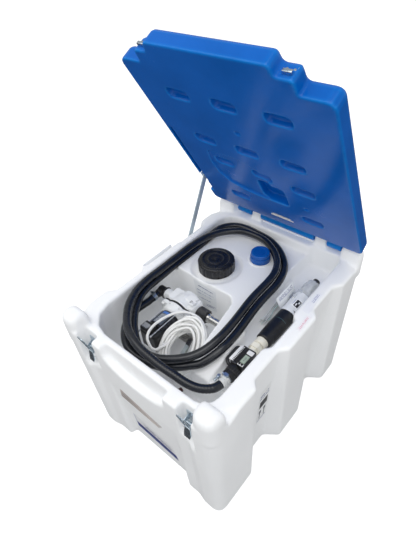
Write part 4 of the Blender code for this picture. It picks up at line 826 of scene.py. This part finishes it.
WHITE = (0.86, 0.87, 0.88)
label_mat("booklet", [(0, 1, 0, 1, (0.86, 0.88, 0.90), ""), (0.62, 0.92, 0.10, 0.90, (0.16, 0.18, 0.34), "lines"), (0.08, 0.4, 0.55, 0.9, (0.3, 0.32, 0.45), "lines")])
label_mat("label_front", [(0, 1, 0, 1, (0.87, 0.88, 0.89), ""), (0.0, 0.38, 0.0, 1.0, (0.01, 0.03, 0.26), ""), (0.13, 0.21, 0.06, 0.94, (0.5, 0.55, 0.75), "lines"), (0.46, 0.76, 0.24, 0.92, (0.02, 0.04, 0.22), "lines"), (0.0, 0.9, 0.0, 0.014, (0.02, 0.06, 0.36), "")])
label_mat("label_side", [(0, 1, 0, 1, (0.87, 0.88, 0.89), ""), (0.46, 0.66, 0.14, 0.86, (0.015, 0.015, 0.02), ""), (0.74, 0.90, 0.10, 0.90, (0.10, 0.12, 0.30), "lines"),
                         (0.10, 0.36, 0.24, 0.31, (0.03, 0.03, 0.06), ""), (0.28, 0.37, 0.18, 0.37, (0.03, 0.03, 0.06), ""), (0.10, 0.36, 0.66, 0.73, (0.03, 0.03, 0.06), ""), (0.28, 0.37, 0.60, 0.79, (0.03, 0.03, 0.06), ""), (0.05, 0.07, 0.1, 0.9, (0.10, 0.12, 0.30), "")])
label_mat("label_plate", [(0, 1, 0, 1, (0.84, 0.86, 0.88), ""), (0.84, 0.91, 0.06, 0.94, (0.16, 0.18, 0.32), "lines"), (0.66, 0.73, 0.08, 0.86, (0.40, 0.44, 0.56), "lines"), (0.54, 0.60, 0.08, 0.80, (0.45, 0.48, 0.6), "lines"), (0.36, 0.43, 0.1, 0.7, (0.42, 0.45, 0.58), "lines"), (0.12, 0.24, 0.45, 0.92, (0.2, 0.22, 0.36), "lines")])
label_mat("label_block", [(0, 1, 0, 1, (0.88, 0.89, 0.90), ""), (0.30, 0.92, 0.10, 0.90, (0.012, 0.012, 0.016), ""), (0.44, 0.60, 0.2, 0.5, (0.85, 0.86, 0.87), ""), (0.62, 0.80, 0.56, 0.78, (0.85, 0.86, 0.87), ""), (0.06, 0.20, 0.2, 0.95, (0.2, 0.25, 0.45), "lines")])
label_mat("label_small_a", [(0, 1, 0, 1, (0.90, 0.91, 0.94), ""), (0.3, 0.75, 0.5, 0.92, (0.25, 0.28, 0.5), "lines")])
label_mat("label_small_b", [(0, 1, 0, 1, (0.93, 0.90, 0.92), ""), (0.3, 0.7, 0.1, 0.9, (0.75, 0.25, 0.35), "lines")])
label_mat("label_cells", [(0, 1, 0, 1, (0.88, 0.89, 0.90), ""), (0.25, 0.8, 0.1, 0.5, (0.02, 0.02, 0.03), "cells"), (0.3, 0.75, 0.55, 0.95, (0.1, 0.1, 0.15), "lines")])
label_mat("label_motor", [(0, 1, 0, 1, (0.10, 0.12, 0.16), ""), (0.15, 0.85, 0.05, 0.75, (0.70, 0.72, 0.76), "lines"), (0.1, 0.9, 0.80, 0.97, (0.08, 0.20, 0.55), "")])
label_mat("lcd_marks", [(0, 1, 0, 1, (0.36, 0.43, 0.36), ""), (0.3, 0.7, 0.2, 0.8, (0.06, 0.07, 0.06), "lines")])
pouch()
spout_bag()


# ------------------------------------------------------------------ drum covers of the pump
def pump_parts():
    c = (-108, 0, 437)
    head = rounded_profile([(0, -86.5), (54, -86.5), (54, -78), (52.6, -76.5), (52.6, -50), (50, -38), (40, -30), (0, -29)], 2.5, 3)
    ribs = lambda r, a, h: r + (1.0 if r > 52 and abs(math.sin(4 * a)) < 0.10 else 0)
    put("pump_drum_rear", lathe_bm(head, c, "Y", 128, ribs), "pump_white", "tank", 35)
    put("pump_seal_ring", lathe_bm(rounded_profile([(46, -93), (54.6, -93), (55.4, -91.5), (55.4, -88), (54.6, -86.5), (46, -86.5), (46, -93)], 0.6, 2)[:-1], c, "Y", 96), "rubber_black", "tank", 50)
    front = rounded_profile([(0, -93), (54, -93), (54, -100), (51.5, -102), (50, -113), (46, -120), (41, -124), (0, -125)], 2.0, 3)
    put("pump_drum_front", lathe_bm(front, c, "Y", 96), "pump_white", "tank", 35)
    # cover bolts round the front flange
    bm = bmesh.new()
    for k in range(8):
        a = math.radians(22.5 + 45 * k)
        p = (c[0] + 49.2 * math.cos(a), 0, c[2] - 49.2 * math.sin(a))
        lathe_bm([(0, -104.6), (2.6, -104.4), (3.2, -103.6), (3.2, -98), (0, -98)], p, "Y", 12, None, bm)
    put("pump_cover_bolts", bm, "steel", "tank", 35)
    # motor: cooling ridges and tie rods
    bm = bmesh.new()
    mc = (-108, 0, 432)
    for k in range(9):
        y = -184 + 7.0 * k
        lathe_bm(rounded_profile([(38, y), (43.9, y), (43.9, y + 2.2), (38, y + 2.2), (38, y)], 0.4, 2)[:-1], mc, "Y", 72, None, bm)
    put("motor_ridges", bm, "motor_black", "tank", 40)
    bm = bmesh.new()
    for ang in (63, 150):
        a = math.radians(ang)
        p = (mc[0] + 45.4 * math.cos(a), 0, mc[2] + 45.4 * math.sin(a))
        lathe_bm([(0, -236), (3.4, -235.6), (3.4, -230), (1.9, -229.6), (1.9, -121), (0, -120.8)], p, "Y", 12, None, bm)
    put("motor_tie_rods", bm, "strip_bright", "tank", 40)


def wrap(name, cx, cz, r, y0, y1, a0, a1, mat, thick=0.3, nu=14):
    """Thin label bent round a cylinder lying along Y; u runs along Y, v round the cylinder."""
    bm = bmesh.new()
    uvl = bm.loops.layers.uv.new("UVMap")
    rows = []
    for rr in (r + thick, r):
        row = []
        for k in range(nu + 1):
            a = math.radians(a0 + (a1 - a0) * k / nu)
            row.append([(bm.verts.new(Vector((cx + rr * math.cos(a), y, cz + rr * math.sin(a))) * MM), (u, 1 - k / nu)) for u, y in ((0, y0), (1, y1))])
        rows.append(row)

    def quad(*vs):
        f = bm.faces.new([v[0] for v in vs])
        for l, v in zip(f.loops, vs):
            l[uvl].uv = v[1]
    o, i = rows
    for k in range(nu):
        quad(o[k][0], o[k][1], o[k + 1][1], o[k + 1][0])
        quad(i[k][0], i[k + 1][0], i[k + 1][1], i[k][1])
        quad(o[k][0], o[k + 1][0], i[k + 1][0], i[k][0])
        quad(o[k][1], i[k][1], i[k + 1][1], o[k + 1][1])
    quad(o[0][0], i[0][0], i[0][1], o[0][1])
    quad(o[nu][0], o[nu][1], i[nu][1], i[nu][0])
    bmesh.ops.recalc_face_normals(bm, faces=bm.faces)
    return put(name, bm, mat, "tank", 50)


# ------------------------------------------------------------------ flow meter
def meter():
    core = box_bm(180, 219, -171, -107, 463, 503, 6.0, seg=4)
    box_bm(199.5, 222, -169, -106.5, 476, 510.2, 2.4, core, 3)
    box_bm(178.5, 199, -172.5, -167, 470, 508, 1.6, core)
    box_bm(178.5, 199, -111, -105.8, 470, 508, 1.6, core)
    for k in range(10):
        y = -164.6 + 5.35 * k
        box_bm(179.5, 200, y, y + 2.6, 476, 508.6, 0.7, core, 1)
    o = put("meter_case", core, "plastic_black", "tank", 35)
    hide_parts("meter_body")
    put("meter_plate", box_bm(170.5, 184.5, -168, -110, 504.4, 507.3, 0.8), "panel_white", "tank", 35)
    # rounded guard beside the fins
    guard = bmesh.new()
    ring = [Vector(p) for p in ((168, -172, 497), (163.5, -165, 498), (163.5, -142, 499), (163.5, -124, 500), (168, -117, 500), (176, -115, 499), (182, -116, 494))]
    put("meter_guard", sweep_bm(curve_points([Vector((182, -176, 490)), Vector((175, -176, 494))] + ring, 6), lambda t: 5.4 if 0.03 < t < 0.97 else 4.4, 16), "plastic_black", "tank", 60)
    guard.free()
    lens = box_bm(202.8, 218.6, -161.6, -131.6, 508.8, 512.2, 0.8)
    put("meter_window", lens, "lens_grey", "tank", 35)
    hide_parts("meter_lens")
    patch("meter_digits", [(216.4, -159.4, 512.2), (216.4, -134, 512.2), (205, -134, 512.2), (205, -159.4, 512.2)], "lcd_marks", "tank", 2, 2, 0.2)
    put("meter_top_cap", box_bm(201, 220.6, -127.6, -112.5, 508.6, 512.6, 2.0, seg=3), "panel_white", "tank", 35)
    put("meter_key_plate", box_bm(201.4, 219.6, -171.2, -162.4, 508.9, 510.9, 0.7), "panel_white", "tank", 35)
    # knurled union nut
    knurl = lambda r, a, h: r - (1.1 * max(0.0, math.cos(18 * a)) ** 2 if r > 19.3 and -209 < h < -180 else 0)
    prof = rounded_profile([(14, -213), (18.4, -213), (20.4, -210), (20.6, -202), (19.2, -200.6), (19.2, -197), (20.8, -195.6), (20.8, -182), (19.4, -176), (14, -173.8), (14, -213)], 0.8, 2)[:-1]
    o = put("meter_union_nut", lathe_bm(prof, (198, 0, 488), "Y", 108, knurl), "plastic_black", "tank", 45)
    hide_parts("meter_nut")
    # worm screw of the hose clamp
    bm = lathe_bm([(0, -244), (3.6, -243.6), (4.2, -242), (4.2, -235), (3.0, -234.6), (3.0, -218), (0, -217.6)], (178.5, 0, 494), "Y", 14)
    box_bm(175, 183, -232, -222, 489, 501, 1.0, bm)
    put("clamp_worm", bm, "screw_blue", "tank", 35)


# ------------------------------------------------------------------ paper sleeve on the nozzle
def sleeve():
    bm = bmesh.new()
    seg, n = 72, 18
    cx, cz = 206, 489.5
    def ring(y, r, j):
        return [bm.verts.new(Vector((cx + (r + 0.5 * math.sin(3 * a + j * 0.5) + 0.25 * math.sin(9 * a - j)) * math.cos(a), y + 1.1 * math.sin(2 * a + 1), cz + (r + 0.5 * math.sin(3 * a + j * 0.5) + 0.25 * math.sin(9 * a - j)) * math.sin(a))) * MM)
                for a in (2 * math.pi * k / seg for k in range(seg))]
    outer = [ring(78 + 92 * j / n, 27.0 - 0.8 * j / n, j) for j in range(n + 1)]
    inner = [ring(78 + 92 * j / n, 26.5 - 0.8 * j / n, j) for j in range(n + 1)]
    for j in range(n):
        for k in range(seg):
            q = (k + 1) % seg
            bm.faces.new((outer[j][k], outer[j][q], outer[j + 1][q], outer[j + 1][k]))
            bm.faces.new((inner[j][k], inner[j + 1][k], inner[j + 1][q], inner[j][q]))
    for k in range(seg):
        q = (k + 1) % seg
        bm.faces.new((outer[0][q], outer[0][k], inner[0][k], inner[0][q]))
        bm.faces.new((outer[n][k], outer[n][q], inner[n][q], inner[n][k]))
    bmesh.ops.recalc_face_normals(bm, faces=bm.faces)
    put("nozzle_sleeve", bm, "sleeve_paper", "tank", 50)
    wrap("sleeve_block", cx, cz, 27.6, 101, 137, 44, 98, "label_block", 0.3)
    grip = rounded_profile([(0, -50), (20, -50), (23.4, -50), (25.4, -47), (25.6, 30), (25.2, 31.5), (25.6, 33), (25.7, 80), (24.6, 82), (0, 82)], 1.0, 3)
    put("nozzle_grip", lathe_bm(grip, (206, 0, 490), "Y", 96, lambda r, a, h: r), "nozzle_black", "tank", 40)
    wrap("nozzle_seam", 206, 490, 25.4, 36, 37.3, -20, 200, "seam_teal", 0.7, 40)


# ------------------------------------------------------------------ generic labels: bars and blocks only
def labels():
    from mathutils.bvhtree import BVHTree
    bvh = BVHTree.FromPolygons([TANK.matrix_world @ v.co for v in TANK.data.vertices], [tuple(q.vertices) for q in TANK.data.polygons])
    z = 537.25
    patch("rim_label_a", [(274.6, 82.9, z), (268.1, 181.3, z), (247.4, 177.8, z), (251.1, 87.1, z)], "label_small_a", "tank", 12, 4, onto=bvh)
    patch("rim_label_b", [(291.0, 10.5, z), (287.4, 80.0, z), (272.1, 76.0, z), (274.8, 13.4, z)], "label_small_b", "tank", 10, 4, onto=bvh)
    fx = lambda zz: 251.6 + (zz - 182) * (15.7 / 211) + 0.3
    patch("side_label", [(fx(192), -148, 192), (fx(192), -90, 192), (fx(392), -90, 392), (fx(392), -148, 392)], "label_side", "tank", 8, 24, onto=bvh)
    patch("bay_placard", [(-125.2, 31.5, 362.9), (-44, 31.5, 377.6), (-42.8, 31.5, 477), (-144.7, 31.5, 483.7)], "label_plate", "tank", 10, 10, onto=bvh)
    patch("front_label", [(-97.8, -360.4, 95.6), (91.6, -358.4, 72.7), (86, -367.9, 183.4), (-88.8, -370.1, 208.8)], "label_front", "tank", 24, 16, onto=bvh)
    for k, (z0, z1, w0, w1) in enumerate(((298, 286, 17, 5), (321, 297, 19, 6), (346, 310, 13, 4))):
        patch("front_stripe_%d" % (k + 1), [(-108 + 6 * k, -381, z0), (58 + 8 * k, -381, z1), (58 + 8 * k, -381, z1 + w1), (-108 + 6 * k, -381, z0 + w0)], "stripe_brown", "tank", 24, 3, onto=bvh)
    wrap("motor_label", -108, 432, 44.1, -184, -128, 72, 124, "label_motor")
    patch("insert_sheet", [(175, 92, 480), (175, 182, 480), (158, 186, 527), (156, 92, 521)], "booklet", "tank", 10, 6, 0.5, 3.0)
    patch("pump_boss_label", [(-78, -70, 491.2), (-56, -70, 491.2), (-56, -50, 491.2), (-78, -50, 491.2)], "label_cells", "tank", 3, 3)


pump_parts()
meter()
sleeve()
labels()


# ------------------------------------------------------------------ stage, camera, light
def stage():
    bm = bmesh.new()
    bmesh.ops.create_grid(bm, x_segments=2, y_segments=2, size=12)
    me = bpy.data.meshes.new("floor")
    bm.to_mesh(me)
    bm.free()
    m, nt, b = new_mat("floor")
    v = coords(nt)
    col = ramp(nt, noise(nt, v, 0.8, 3), [(0.3, (0.93, 0.935, 0.94)), (0.7, (0.95, 0.955, 0.96))])
    nt.links.new(col, b.inputs["Base Color"])
    b.inputs["Roughness"].default_value = 0.9
    b.inputs["Specular IOR Level"].default_value = 0.1
    lp = node(nt, "ShaderNodeLightPath")
    dim = mixc(nt, lp.outputs["Is Camera Ray"], (0.50, 0.50, 0.50), col)
    dim = mixc(nt, lp.outputs["Is Glossy Ray"], dim, (0.08, 0.08, 0.085))
    nt.links.new(dim, b.inputs["Base Color"])
    b.inputs["Emission Color"].default_value = (1, 1, 1, 1)
    nt.links.new(mathn(nt, "MULTIPLY", lp.outputs["Is Camera Ray"], 0.42), b.inputs["Emission Strength"])
    me.materials.append(m)
    o = bpy.data.objects.new("floor", me)
    o.location.z = -0.0005
    bpy.context.scene.collection.objects.link(o)

    w = bpy.data.worlds.new("studio")
    bpy.context.scene.world = w
    w.use_nodes = True
    nt = w.node_tree
    bg = nt.nodes["Background"]
    lp = node(nt, "ShaderNodeLightPath")
    sky = mixc(nt, lp.outputs["Is Camera Ray"], (0.745, 0.75, 0.755), (1.0, 1.0, 1.0))
    sky = mixc(nt, lp.outputs["Is Glossy Ray"], sky, (0.42, 0.43, 0.44))
    nt.links.new(sky, bg.inputs[0])
    bg.inputs[1].default_value = 1.0

    def area(name, loc, target, size, power, colour=(1, 1, 1)):
        l = bpy.data.lights.new(name, "AREA")
        l.shape, l.size, l.size_y, l.energy, l.color = "RECTANGLE", size[0], size[1], power, colour
        ob = bpy.data.objects.new(name, l)
        ob.location = loc
        ob.rotation_euler = (Vector(target) - Vector(loc)).to_track_quat("-Z", "Y").to_euler()
        bpy.context.scene.collection.objects.link(ob)
    area("key", (-1.6, -1.6, 3.2), (0, 0, 0.5), (2.2, 2.2), 17)
    area("fill", (2.6, -1.6, 1.8), (0, 0, 0.4), (2.4, 2.4), 10, (0.96, 0.98, 1))
    area("top", (0.5, -0.9, 3.6), (0, 0, 0.5), (2.2, 2.2), 30)


stage()


def camera():
    az, el, roll = math.radians(43.256), math.radians(41.926), math.radians(-4.657)
    back = Vector((math.sin(az) * math.cos(el), -math.cos(az) * math.cos(el), math.sin(el)))
    right = (-back).cross(Vector((0, 0, 1))).normalized()
    up = right.cross(-back)
    X = right * math.cos(roll) + up * math.sin(roll)
    Y = -right * math.sin(roll) + up * math.cos(roll)
    cam = bpy.data.cameras.new("cam")
    cam.lens, cam.sensor_width, cam.sensor_fit = 28.685, 36.0, "AUTO"
    cam.clip_start, cam.clip_end = 0.05, 60
    o = bpy.data.objects.new("cam", cam)
    R = Matrix((X, Y, back)).transposed().to_4x4()
    o.matrix_world = Matrix.Translation(Vector((0.63707, -0.71934, 1.50378))) @ R
    bpy.context.scene.collection.objects.link(o)
    bpy.context.scene.camera = o


camera()
sc = bpy.context.scene
sc.view_settings.view_transform = "Standard"
sc.view_settings.look = "None"
sc.view_settings.exposure = 0.0
